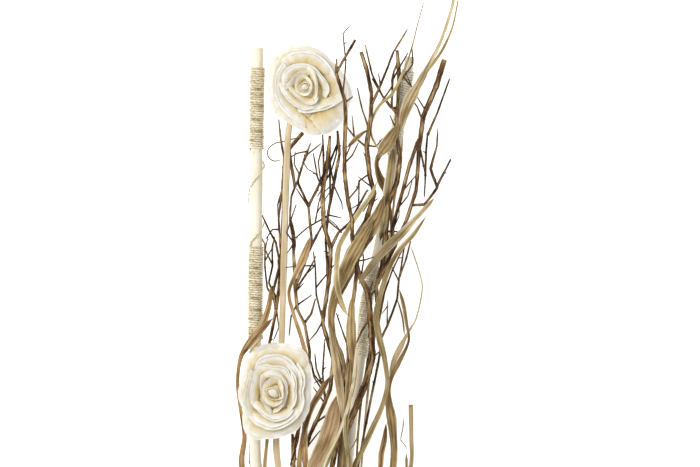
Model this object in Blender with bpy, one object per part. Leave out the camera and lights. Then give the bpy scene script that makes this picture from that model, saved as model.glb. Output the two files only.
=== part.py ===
# Dried flower bouquet: twigs, dry leaves, two peeled sticks and two sheet-cut white roses,
# drawn together by a wound twine tie. The bunch lies on its back on z = 0, its tips along +Y
# and its show side up. The origin is the flat spot under the tie.
import math
import random

import bpy
import bmesh
import numpy as np
from mathutils import Vector

MM = 0.001
# Courses are laid out on a sheet in millimetres; this sheet point becomes the origin.
TIE_X, TIE_Y = 30.0, -75.0

GAP = 0.36                 # air between neighbouring stems, mm
FAN_LOW, FAN_HIGH = -50.0, 330.0   # sheet y between which the tied bundle opens to full depth
CUT_LOW = -158.0           # sheet y of the cut stem ends
TIE_CENTRE_Z = 15.3        # height of the bundle's middle inside the tie
TIE_HALF_W, TIE_HALF_H = 22.6, 12.7
TIE_TURNS, TIE_LENGTH = 5, 21.0
TWINE_TIE_D = 2.6
TIE_SIDES = 22
REST_PAD = [(0, 6.0), (-5.0, -5.5), (5.0, -5.5)]   # the flat face under the tie

STICK_LEFT_R, STICK_RIGHT_R = 5.5, 4.5
STICK_SIDES = 9
TWINE_D = 1.6
WRAP_PITCH = 9.0
WRAP_CLEAR = 0.3
LEAF_T = 0.8
WIDE_BLADE = 2.7           # half width above which a blade is ridged along its middle
CANE_T = 3.4

FINISHES = {
    "peeled_stick": ("#EFE9D5", 0.55),
    "twine": ("#D2C6A0", 0.9),
    "cane": ("#D2B98D", 0.6),
    "twig_bark": ("#4A3420", 0.75),
    "leaf_tan": ("#B39B6B", 0.7),
    "leaf_khaki": ("#A39A6A", 0.7),
    "leaf_pale": ("#D8C694", 0.65),
    "leaf_pink": ("#C2A27C", 0.65),
    "rose_sheet": ("#F4EEDC", 0.85),
}

# Twig sprays. Each: height of the head (mm), slot in the tie (x, z), thickness, course from the
# tip down to where the bundle begins, then side shoots, each from its root outwards.
# A course point is (x, y) or (x, y, thickness) or (x, y, thickness, lift).
SPRAYS = {
    "twig_front": (73, (-4.6, 7.2), 3.4, [
        (44.5, 513, 1.6, 10), (44, 500, 2.4, 10), (48, 487, 3, 8), (52, 474, 3, 4), (53, 458),
        (52, 430), (52, 405), (55, 380), (59, 361), (59, 343), (64, 324), (62, 298),
        (58, 272), (57, 245, 3.4, 6), (54, 215, 3.4, 9), (50, 180, 3.6, 9), (47, 155, 4, 7), (40, 127, 4.2, 3)], [
        (2.6, 4, [(44, 500), (48, 507), (62, 531)]),
        (1.8, 5, [(53, 472), (60, 477.5)]),
        (1.6, 6, [(52, 415), (59, 422), (65, 434)]),
        (1.4, 9, [(51.5, 419), (56, 428), (60, 437)]),
        (1.4, -8, [(51, 480), (53, 510), (50.5, 537), (58, 546)]),
        (1.6, 7, [(55, 380), (64, 391), (65.5, 399)]),
        (2.2, -7, [(64, 324), (71, 336), (79, 345)]),
    ]),
    "twig_left": (27, (-12.8, 6.9), 3.0, [
        (-11, 457, 1.8), (-9, 438), (-6, 420), (-8, 390), (-11, 362), (-9, 330),
        (-10.5, 300, 3.4), (-13, 278), (-19.5, 245), (-29, 205), (-37, 165, 2.4), (-38.5, 130, 2.4)], [
        (1.6, -10, [(-8, 388), (-12, 376), (-11.5, 360)]),
        (2.2, 8, [(-10.5, 318), (-14, 340), (-20, 351), (-27, 366)]),
        (2.0, -14, [(-14, 285), (-20.5, 301), (-17, 318), (-17.5, 335), (-15, 345)]),
        (1.9, -40, [(-13, 280), (-21.5, 291), (-24.5, 314), (-25, 342), (-46, 368)]),
        (1.5, -8, [(-25, 322), (-16, 337)]),
        (1.6, 10, [(-9, 352), (-17, 352), (-23, 343)]),
        (3.0, 8, [(-14, 276), (-16.5, 292), (-11, 315), (-9, 327)]),
    ]),
    "twig_mid_left": (44, (-4.2, 12.6), 3.0, [
        (19.5, 434, 1.8), (14, 420), (8, 400), (1, 383), (0, 360), (3, 340), (4, 318),
        (5, 296, 3.4), (7, 276), (14, 261), (18.5, 236), (17, 200), (9, 166), (4, 145, 4), (3, 127, 4.2)], [
        (1.6, 8, [(13, 418), (17, 424), (30, 434)]),
        (2.8, -6, [(5, 392), (-1, 428), (12, 444)]),
        (2.4, 10, [(5, 298), (13, 318), (20.5, 340), (19, 357), (17, 376), (8, 395), (8, 404)]),
        (1.9, 4, [(17, 374), (26, 391), (34, 410)]),
        (1.5, 8, [(17, 374), (6, 391)]),
        (1.9, -9, [(18, 333), (23, 342), (31, 357)]),
        (2.1, -10, [(14, 263), (20, 272), (24, 286)]),
        (1.4, -10, [(7, 280), (21, 290)]),
        (1.4, 8, [(3, 340), (-3, 349), (6, 376)]),
        (1.8, 9, [(10, 168), (7, 150), (0, 127)]),
    ]),
    "twig_mid": (54, (2.6, 15.2), 3.4, [
        (38, 441, 1.8), (36, 418), (31, 388), (32, 358), (38.5, 334), (38, 312), (34, 284),
        (31, 263), (36, 246), (41, 228), (38, 200), (31, 182), (19, 157), (13, 139), (14, 126)], [
        (1.8, 8, [(32, 395), (31.5, 430), (31, 443)]),
        (2.4, -8, [(39, 334), (46, 349), (57, 359), (66, 376), (74, 391)]),
        (2.2, -12, [(36, 300), (34, 340), (36, 366), (42, 398), (47, 424), (45, 446)]),
        (1.8, -6, [(38, 378), (38, 416), (46, 436)]),
        (1.4, -6, [(35, 365), (17, 354), (4, 343)]),
        (1.4, 7, [(35, 361), (49, 349)]),
        (1.6, 9, [(31, 265), (25, 290), (24, 318), (22, 332)]),
        (1.4, 6, [(24, 318), (7, 317), (-4, 316)]),
        (1.4, -9, [(25, 297), (36, 311), (44, 321)]),
        (1.5, 10, [(31, 265), (25, 254), (18, 246)]),
        (1.8, 8, [(34, 188), (31, 215), (33, 248)]),
        (1.4, 6, [(30, 202), (23, 214), (20, 227)]),
        (1.5, -6, [(24, 168), (37, 177), (42, 181)]),
        (1.6, -11, [(31, 390), (26, 402), (22, 425)]),
    ]),
    "twig_trunk": (42, (1.2, 8.8), 4.2, [
        (67.5, 521, 2.4), (73, 504, 3), (77.5, 482, 3.2), (77, 462, 3.4), (73, 430, 3.6), (76, 402, 3.6),
        (80, 386, 3.8), (72, 360), (60, 340), (62, 322), (67, 306), (74, 293, 5), (77, 262, 5),
        (78.5, 230, 5.2), (71, 203, 5.4), (60, 176, 5.4), (53, 160, 5.4), (50, 127, 5.2)], [
        (2.4, 6, [(78, 470), (86, 489), (98, 520), (112, 543)]),
        (1.5, 8, [(86, 489), (84, 500)]),
        (1.6, -10, [(74, 447), (69, 465), (64, 487)]),
        (1.8, 7, [(73, 430), (61, 440), (53, 451)]),
        (1.5, 8, [(61, 440), (59, 460)]),
        (1.5, -6, [(74, 432), (82, 431), (88, 439)]),
        (1.5, 8, [(75, 405), (66, 398), (65, 376), (57, 371)]),
        (1.5, 9, [(80, 386), (69, 368)]),
        (1.6, -8, [(73, 363), (79, 378), (84, 382)]),
        (1.6, 9, [(62, 322), (71, 323), (80, 326)]),
        (2.0, -6, [(76, 268), (68, 255), (63, 243)]),
    ]),
    "twig_right": (30, (17.0, 14.6), 3.6, [
        (102, 523, 2.0), (104, 497), (102, 468, 3), (101, 446), (105, 420), (102, 398), (93, 374),
        (91, 345), (88, 320), (82, 297, 4), (84, 262, 4), (86, 236, 4), (80, 205, 4), (72, 165, 4), (65, 127, 4)], [
        (2.2, 8, [(101, 462), (88, 479), (78, 500), (71.5, 528)]),
        (2.0, 10, [(96, 468), (98, 495), (112, 520)]),
        (2.0, 6, [(97, 489), (82, 466)]),
        (1.6, 4, [(100, 447), (95, 461)]),
        (3.4, -4, [(86, 300), (97, 330), (111, 361), (120, 390), (123, 430), (127, 460), (139, 488), (147, 514)]),
        (2.6, 8, [(98, 333), (98, 355), (108, 392), (113, 411), (123, 440)]),
        (1.6, 3, [(126, 455), (121, 469), (115, 477)]),
        (1.8, -10, [(123, 432), (129, 405), (128, 383)]),
        (1.7, 8, [(129, 462), (140, 463), (152, 496)]),
        (2.2, -10, [(116, 375), (128, 376), (140, 392), (134, 410), (140, 432), (141, 449)]),
        (1.6, 8, [(140, 393), (153, 419)]),
        (1.4, 8, [(108, 388), (121, 405)]),
        (2.2, -12, [(87, 246), (93, 261), (102, 286), (104, 306), (110, 322), (115, 341)]),
        (1.8, -14, [(104, 308), (108, 330), (110, 338)]),
        (1.9, -8, [(88, 262), (90, 292), (97, 312), (109, 337)]),
        (1.8, -46, [(93, 350), (116, 350), (136, 352)]),
        (1.6, -6, [(117, 492), (117, 510), (116, 527)]),
        (1.4, 6, [(109, 497), (117, 486)]),
    ]),
}

# Leaf blades: height, slot (or None where the blade ends inside the bunch), finish, roll (degrees)
# at both ends, course from the tip down: (x, y, width).
LEAVES = {
    "leaf_tall": (13, (17.2, 9.9), "leaf_tan", (12, -8), [
        (158, 641, 1.2), (160, 606, 2.6), (156, 571, 4), (145, 535, 6), (134, 512, 7.5), (122, 490, 9),
        (111, 469, 9.5), (106, 450, 6.5), (104, 425, 6), (101, 398, 6), (98, 368, 6), (94, 338, 6),
        (89, 305, 6), (84, 272, 6), (79, 240, 6), (75, 205, 6), (71, 165, 5.5), (68, 127, 5)]),
    "leaf_tall_thin": (24, None, "leaf_tan", (20, 0), [
        (161, 575, 1.2), (155, 546, 2), (146, 525, 2.6), (136, 510, 3), (125, 496, 3), (119.5, 482, 2.6),
        (115.5, 469, 2)]),
    "leaf_hook": (43, None, "leaf_pale", (-15, 25), [
        (128, 571, 1), (122, 550, 1.2), (116, 526, 1.6), (109, 505, 2.6), (97, 481, 3.2), (85, 470, 3.4),
        (78, 456, 3.2), (77, 443, 3), (84, 428, 2.6)]),
    "leaf_folded": (20, (17.2, 11.3), "leaf_tan", (-18, 10), [
        (101, 449, 3), (95, 438, 8), (88, 428, 7), (82.5, 417, 4.5), (84, 406, 6), (90, 391, 10),
        (95, 372, 9), (97, 350, 8), (95, 325, 8), (90, 300, 7.5), (84, 275, 7), (77, 250, 7),
        (73, 220, 6.5), (68, 190, 6), (65, 160, 5.5), (63, 127, 5)]),
    "leaf_curl": (57, None, "leaf_pale", (20, -10), [
        (83, 398, 1.6), (77, 385, 3.6), (66, 369, 4.6), (55, 352, 5), (46.5, 335, 5), (44, 315, 4.6),
        (43.5, 298, 4.4), (47, 284, 4), (54, 271, 2.4)]),
    "leaf_broad": (66, (8.2, 19.8), "leaf_tan", (10, -14), [
        (89, 384, 3), (84, 367, 9), (76, 353, 12), (68, 341, 13), (60, 328, 13), (53, 310, 12),
        (46, 295, 10), (41, 281, 7.6), (39, 266, 6.4), (42, 247, 5.6), (48, 234, 5.4), (51, 218, 5.6),
        (51, 195, 5.6), (50, 160, 5.4), (47, 127, 5)]),
    "leaf_crossing": (64, None, "leaf_khaki", (-12, 12), [
        (137, 382, 2), (130, 374, 4), (116, 359, 5), (104, 346, 5.6), (90, 333, 5.2), (77, 317, 4.4),
        (65, 300, 2.4)]),
    "leaf_right": (50, (8.2, 16.8), "leaf_khaki", (8, 16), [
        (129, 364, 1.6), (117, 347, 4), (102, 330, 4.2), (93, 312, 4.4), (86, 290, 4.8), (82, 270, 6),
        (85, 248, 6.2), (90, 228, 5), (92.5, 205, 4), (87, 182, 4.6), (78, 162, 5), (69, 142, 5), (61, 125, 5)]),
    "leaf_far_right": (36, (13.4, 22.0), "leaf_tan", (-10, 12), [
        (104, 295, 1.6), (108, 280, 3.6), (111, 262, 3.2), (113, 246, 2.4), (103, 224, 4.4), (96, 210, 4),
        (93, 195, 5), (96, 175, 6.5), (98, 158, 6), (99, 138, 5), (97, 120, 5)]),
    "leaf_wisp": (27, None, "leaf_khaki", (10, -10), [
        (115, 336, 1), (123, 312, 1.1), (126, 296, 1.2), (120, 267, 1.6), (112, 253, 2.6), (105, 240, 5.4),
        (99, 227, 5), (95, 212, 3)]),
    "leaf_centre": (62, (0.9, 20.3), "leaf_khaki", (14, -12), [
        (20, 346, 2), (16, 334, 5), (12, 323, 6), (5, 309, 4), (-1, 292, 3.2), (4, 270, 3.4), (12, 245, 4),
        (17, 220, 5), (16, 190, 5), (14, 160, 5), (15, 127, 5)]),
    "leaf_left": (56, (-14.4, 21.5), "leaf_tan", (-14, 10), [
        (-18, 298, 2), (-20, 280, 4), (-27, 260, 5), (-38, 246, 4.6), (-47, 230, 3.8), (-50, 205, 3.4),
        (-47, 180, 3.4), (-43.5, 155, 4.6), (-46, 128, 5.6)]),
    "leaf_left_short": (72, None, "leaf_pale", (12, -10), [
        (-16, 268, 1.8), (-24, 260, 4.4), (-35, 247, 4.2), (-45, 233, 2)]),
    "leaf_inner": (56, (8.2, 18.3), "leaf_pale", (10, 8), [
        (61, 291, 1.6), (57.5, 272, 5), (57, 257, 7), (57, 243, 8), (58, 222, 7), (57, 200, 6), (54, 178, 5.4),
        (52, 150, 5), (53, 127, 5)]),
    "leaf_slant": (50, (-4.7, 23.3), "leaf_khaki", (-12, 10), [
        (38, 211, 2), (32, 203, 4.6), (27, 194, 6), (20, 181, 5), (15, 165, 4.4), (11, 147, 4.6), (8.5, 127, 5)]),
    "leaf_low_broad": (77, (0.5, 21.8), "leaf_pink", (-8, 6), [
        (48, 198, 3), (42, 181, 9), (39, 166, 12), (33, 148, 12), (27, 136, 11), (22, 125, 9)]),
    "leaf_low_green": (86, (0.4, 23.2), "leaf_khaki", (12, -6), [
        (47, 158, 2), (41, 146, 5), (36, 135, 6), (32, 125, 6)]),
    "leaf_low_pale": (62, (8.2, 21.3), "leaf_pale", (-16, 12), [
        (49, 228, 1.6), (54, 208, 4), (55, 188, 4.4), (53, 170, 4), (54, 148, 4), (57, 127, 4)]),
    "leaf_hanging": (25, (14.2, 20.5), "leaf_tan", (14, 6), [
        (91.5, 167, 1.8), (90, 152, 5), (87, 138, 5.4), (86, 125, 5)]),
    "leaf_thread": (47, None, "leaf_tan", (0, 0), [
        (10, 440, 1), (-5, 436, 1.2), (-14, 434, 1.2), (-20, 429.5, 1.2), (-21.5, 425, 1.2), (-20, 420, 1.2),
        (-15, 417, 1.2), (-7, 418.5, 1)]),
}

# Rigid stems: radius or half width, finish, tie slot, heights at fan top and tip, course tip down.
RIGID = {
    "peeled_stick_left": (STICK_LEFT_R, (-14.0, 15.0), (39, 41.5), [
        (-30.5, 525), (-31, 500), (-32, 450), (-31.6, 400), (-32, 350), (-33, 300), (-33, 240), (-33, 180), (-32.5, 128)]),
    "peeled_stick_right": (STICK_RIGHT_R, (9.4, 9.8), (21, 24), [
        (114, 517), (112, 500), (104.5, 460), (99, 428), (91.5, 378), (85, 340), (78, 306), (71.5, 275),
        (69, 240), (65, 212), (60.5, 180), (57, 145)]),
    "cane_rose_top": (3.0, (-4.7, 20.6), (43, 51.9), [
        (6, 475), (-1, 448), (-3.5, 400), (-5.5, 330), (-8, 250), (-11, 190), (-13, 140)]),
    "stem_rose_bottom": (1.75, (-9.8, 21.5), (48.4, 48.4), [(-17, 196), (-22, 150), (-24, 120)]),
    "cane_right": (2.1, (15.4, 18.3), (34, 34), [(115, 185), (115.5, 155), (115, 126)]),
}

ROSES = {
    "rose_top": ((14.5, 487), 54.0, [
        (-21.5, 500), (-21.5, 485), (-20, 470), (-14, 459), (-4, 449), (9, 445), (22, 438), (36, 441),
        (49, 450), (58, 465), (60, 479), (57, 490), (50, 500), (40, 511), (28, 521), (18, 526), (8, 527),
        (0, 525), (-12, 519), (-20, 508)]),
    "rose_bottom": ((-15, 197), 50.0, [
        (-8, 246), (6, 242), (15, 235), (20, 217), (21, 200), (20, 188), (15, 174), (8, 162), (-3, 152),
        (-20, 150), (-35, 152), (-43, 160), (-46, 178), (-49, 200), (-48, 218), (-42, 233), (-30, 243)]),
}


def hex_rgb(code):
    """An sRGB hex colour as linear values."""
    out = []
    for i in (1, 3, 5):
        c = int(code[i:i + 2], 16) / 255
        out.append(c / 12.92 if c <= 0.04045 else ((c + 0.055) / 1.055) ** 2.4)
    return (*out, 1.0)


def finish(name):
    """The plain material of one surface."""
    mat = bpy.data.materials.get(name)
    if mat is None:
        mat = bpy.data.materials.new(name)
        mat.use_nodes = True
        shader = mat.node_tree.nodes["Principled BSDF"]
        colour, rough = FINISHES[name]
        shader.inputs["Base Color"].default_value = hex_rgb(colour)
        shader.inputs["Roughness"].default_value = rough
        shader.inputs["Metallic"].default_value = 0.0
    return mat


def smooth(t):
    t = min(1.0, max(0.0, t))
    return t * t * (3 - 2 * t)


def bundle_tail(slot, last):
    """Course points from the lowest seen point down through the tie to the cut end."""
    sx, sz = slot
    x0, y0 = last
    out = []
    for y in (80, 35, -8):
        t = (y0 - y) / (y0 - FAN_LOW)
        f = 0.5 * t + 0.5 * smooth(t)
        out.append((x0 + (TIE_X + sx - x0) * f, y))
    out.append((TIE_X + sx, FAN_LOW))
    out.append((TIE_X + sx, FAN_LOW - 50))
    end = CUT_LOW + 9 * math.sin(sx * 1.7 + sz * 0.9)
    out.append((TIE_X + sx * 1.12, end))
    return out


def rest_height(slot, head, y):
    """Height a stem wants at sheet y, before neighbours push on it."""
    if slot is None:
        return head
    z = slot[1]
    if y < FAN_LOW - 55:
        return TIE_CENTRE_Z + (z - TIE_CENTRE_Z) * 1.12
    return z + (head - z) * min(1.0, max(0.0, (y - FAN_LOW) / (FAN_HIGH - FAN_LOW)))


class Chain:
    """One stem, blade or shoot: a run of vertices with fixed x and y and a height to be found."""

    def __init__(self, group, kind, pts, z, half, depth, hold=1.0):
        self.group, self.kind = group, kind
        self.xy = np.array(pts, float)
        self.z = np.array(z, float)
        self.half = np.array(half, float)      # half width along the sheet
        self.depth = np.array(depth, float)    # half thickness up and down
        self.hold = np.full(len(pts), float(hold))
        self.roll = np.zeros(len(pts))
        self.root = None                       # (parent chain, segment, fraction)
        self.start = 0


def nearest_on(chains, p):
    """The closest place on the chains already grown."""
    best = None
    for chain in chains:
        for k in range(len(chain.xy) - 1):
            a, b = chain.xy[k], chain.xy[k + 1]
            d = b - a
            f = float(np.clip(np.dot(p - a, d) / np.dot(d, d), 0, 1))
            gap = float(np.hypot(*(a + d * f - p)))
            if best is None or gap < best[0]:
                best = (gap, chain, k, f)
    return best[1:]


def grow_chains():
    """All stems of the bouquet in their wished-for places."""
    rng = random.Random(41)
    chains = []
    for name, (half, slot, (fan_z, tip_z), pts) in RIGID.items():
        course = with_wrap_ends(name, pts) + bundle_tail(slot, pts[-1])
        top, z = pts[0][1], []
        for x, y in course:
            if y >= 200:
                z.append(fan_z + (tip_z - fan_z) * (y - 200) / max(1.0, top - 200))
            elif y > FAN_LOW:
                z.append(slot[1] + (fan_z - slot[1]) * (y - FAN_LOW) / (200 - FAN_LOW))
            else:
                z.append(rest_height(slot, fan_z, y))
        stick = name.startswith("peeled")
        n = len(course)
        depth = [half if stick else (CANE_T / 2 if half > 2.5 else 1.2)] * n
        chain = Chain(name, "stick" if stick else "cane", course, z, [half] * n, depth, 0.0)
        if stick:
            for k, (x, y) in enumerate(course):
                if any(host == name and low <= y <= high for host, low, high in WRAPS.values()):
                    chain.half[k] += WRAP_CLEAR + TWINE_D
                    chain.depth[k] += WRAP_CLEAR + TWINE_D
        chains.append(chain)
    for name, (head, slot, thick, pts, shoots) in SPRAYS.items():
        course, w, lift = [], [], []
        for p in pts:
            course.append(p[:2])
            w.append(p[2] if len(p) > 2 else thick)
            lift.append((p[3] if len(p) > 3 else 0) + rng.uniform(-3.5, 3.5))
        tail = bundle_tail(slot, course[-1])
        course += tail
        w += [w[-1]] * len(tail)
        lift += [0] * len(tail)
        z = [rest_height(slot, head, y) + lift[k] for k, (x, y) in enumerate(course)]
        r = [v / 2 for v in w]
        main = Chain(name, "twig", course, z, r, r)
        group = [main]
        for thick_s, rise, spts in shoots:
            parent, seg, f = nearest_on(group, np.array(spts[0], float))
            foot = parent.xy[seg] * (1 - f) + parent.xy[seg + 1] * f
            zf = parent.z[seg] * (1 - f) + parent.z[seg + 1] * f
            run = [tuple(foot)] + [p[:2] for p in spts[1:]]
            n = len(run)
            zs = [zf + rise * k / (n - 1) + (rng.uniform(-2, 2) if k else 0) for k in range(n)]
            host = parent.half[seg] * (1 - f) + parent.half[seg + 1] * f
            root_r = min(thick_s / 2, 0.93 * host)
            rs = [max(0.42, root_r * (1 - 0.35 * k / (n - 1))) for k in range(n)]
            shoot = Chain(name, "twig", run, zs, rs, rs)
            shoot.root = (parent, seg, f)
            group.append(shoot)
        chains += group
    for name, (head, slot, look, (roll_a, roll_b), pts) in LEAVES.items():
        course = [p[:2] for p in pts]
        w = [p[2] for p in pts]
        if slot is not None:
            tail = bundle_tail(slot, course[-1])
            course += tail
            w += [5.0, 4.8, 4.6, 4.4, 4.4, 4.6]
        z = [rest_height(slot, head, y) for x, y in course]
        n = len(course)
        chain = Chain(name, "leaf", course, z, [v / 2 for v in w], [LEAF_T / 2] * n)
        for k, (x, y) in enumerate(course):
            f = k / (n - 1)
            wave = math.sin(5.5 * f + len(name)) * 9
            fade = smooth((y - FAN_LOW) / 120) if slot is not None else 1.0
            chain.roll[k] = math.radians((roll_a * (1 - f) + roll_b * f + wave) * fade)
        chains.append(chain)
    for chain in chains:
        if chain.kind != "stick" and chain.kind != "cane" and chain.root is None:
            for k, (x, y) in enumerate(chain.xy):
                if y <= FAN_LOW + 1 and chain.xy[0][1] > 100 and y < 0:
                    chain.hold[k] = 0.0
    return chains


WRAPS = {
    "twine_left_upper": ("peeled_stick_left", 427, 507),
    "twine_left_lower": ("peeled_stick_left", 246, 337),
    "twine_right_upper": ("peeled_stick_right", 422, 505),
    "twine_right_lower": ("peeled_stick_right", 229, 318),
}


def with_wrap_ends(stick, pts):
    """The stick's course with extra points just where each twine band starts and stops."""
    cuts = [y for host, low, high in WRAPS.values() if host == stick
            for y in (low - 2, low, high, high + 2)]
    out = [pts[0]]
    for a, b in zip(pts, pts[1:]):
        for y in sorted((c for c in cuts if b[1] < c < a[1]), reverse=True):
            f = (a[1] - y) / (a[1] - b[1])
            out.append((a[0] + (b[0] - a[0]) * f, y))
        out.append(b)
    return out


def fibres(chain):
    """Side-by-side strips that stand for a stem in the clearance sums: (offset factor, share)."""
    if chain.kind == "leaf" or chain.kind == "cane":
        return ((-0.66, 0.34), (0.0, 0.34), (0.66, 0.34))
    return ((0.0, 0.0),)


def side_vectors(xy):
    """Unit vectors across the course, in the sheet."""
    d = np.gradient(xy, axis=0)
    d /= np.maximum(np.hypot(d[:, 0], d[:, 1])[:, None], 1e-9)
    return np.stack([-d[:, 1], d[:, 0]], axis=1)


def along(ends, share):
    """Value part of the way between two ends."""
    return ends[:, 0] * (1 - share) + ends[:, 1] * share


def close_pairs(chains):
    """Every pair of strips from different stems that pass near each other on the sheet."""
    a, b, va, vb, oa, ob, lat, dep, grp = [], [], [], [], [], [], [], [], []
    groups = sorted({c.group for c in chains})
    for c in chains:
        side = side_vectors(c.xy)
        for shift, share in fibres(c):
            off = c.half * shift
            line = c.xy + side * (off * np.cos(c.roll))[:, None]
            rise = off * np.sin(c.roll)
            for k in range(len(c.xy) - 1):
                a.append(line[k]); b.append(line[k + 1])
                va.append(c.start + k); vb.append(c.start + k + 1)
                oa.append(rise[k]); ob.append(rise[k + 1])
                crown = 0.3 if c.kind == "leaf" and c.half.max() > WIDE_BLADE else 0.06
                lat.append((c.half[k] * share, c.half[k + 1] * share))
                dep.append((c.depth[k] + crown, c.depth[k + 1] + crown))
                grp.append(groups.index(c.group))
    a, b = np.array(a), np.array(b)
    va, vb, oa, ob = np.array(va), np.array(vb), np.array(oa), np.array(ob)
    lat, dep, grp = np.array(lat), np.array(dep), np.array(grp)
    low, high = np.minimum(a, b), np.maximum(a, b)
    reach = (lat.max(axis=1) + dep.max(axis=1) + 1.0)[:, None]
    out = []
    for i in range(len(a)):
        near = np.all((low[i] - reach[i] <= high + reach) & (high[i] + reach[i] >= low - reach), axis=1)
        near[:i + 1] = False
        near &= grp != grp[i]
        js = np.nonzero(near)[0]
        if len(js):
            out.append(np.stack([np.full(len(js), i), js], axis=1))
    pairs = np.concatenate(out)
    i, j = pairs[:, 0], pairs[:, 1]
    s, t, d = sheet_closest(a[i], b[i], a[j], b[j])
    need = along(dep[i], s) + along(dep[j], t) + GAP
    beside = np.maximum(0.0, d - along(lat[i], s) - along(lat[j], t))
    keep = beside < need
    i, j, s, t, need, beside = i[keep], j[keep], s[keep], t[keep], need[keep], beside[keep]
    return {"ia": va[i], "ib": vb[i], "ja": va[j], "jb": vb[j], "s": s, "t": t,
            "need": np.sqrt(need ** 2 - beside ** 2), "square": beside < 0.15 * need,
            "rise": (oa[i] * (1 - s) + ob[i] * s) - (oa[j] * (1 - t) + ob[j] * t),
            "li": np.hypot(*(b[i] - a[i]).T), "lj": np.hypot(*(b[j] - a[j]).T),
            "turn": np.abs(np.cross(b[i] - a[i], b[j] - a[j]))}


def sheet_closest(p, q, r, w):
    """Closest places of segments p-q and r-w on the sheet: fractions and distance."""
    d1, d2 = q - p, w - r
    cross = d1[:, 0] * d2[:, 1] - d1[:, 1] * d2[:, 0]
    cross = np.where(np.abs(cross) < 1e-9, 1e-9, cross)
    pr = r - p
    s = (pr[:, 0] * d2[:, 1] - pr[:, 1] * d2[:, 0]) / cross
    t = (pr[:, 0] * d1[:, 1] - pr[:, 1] * d1[:, 0]) / cross
    hit = (s >= 0) & (s <= 1) & (t >= 0) & (t <= 1)
    l1 = np.maximum((d1 ** 2).sum(1), 1e-9)
    l2 = np.maximum((d2 ** 2).sum(1), 1e-9)
    zero, one = np.zeros(len(p)), np.ones(len(p))
    cases = [
        (zero, np.clip(((p - r) * d2).sum(1) / l2, 0, 1)),
        (one, np.clip(((q - r) * d2).sum(1) / l2, 0, 1)),
        (np.clip(((r - p) * d1).sum(1) / l1, 0, 1), zero),
        (np.clip(((w - p) * d1).sum(1) / l1, 0, 1), one),
    ]
    best = np.where(hit, 0.0, np.inf)
    bs, bt = np.clip(s, 0, 1), np.clip(t, 0, 1)
    for cs, ct in cases:
        gap = np.hypot(*((p + d1 * cs[:, None]) - (r + d2 * ct[:, None])).T)
        closer = gap < best
        best = np.where(closer, gap, best)
        bs, bt = np.where(closer, cs, bs), np.where(closer, ct, bt)
    return bs, bt, best


def inside(outline, x, y):
    """Is the sheet point inside the closed outline?"""
    odd = False
    for k in range(len(outline)):
        (x1, y1), (x2, y2) = outline[k - 1], outline[k]
        if (y1 > y) != (y2 > y) and x < x1 + (y - y1) * (x2 - x1) / (y2 - y1):
            odd = not odd
    return odd


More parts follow.
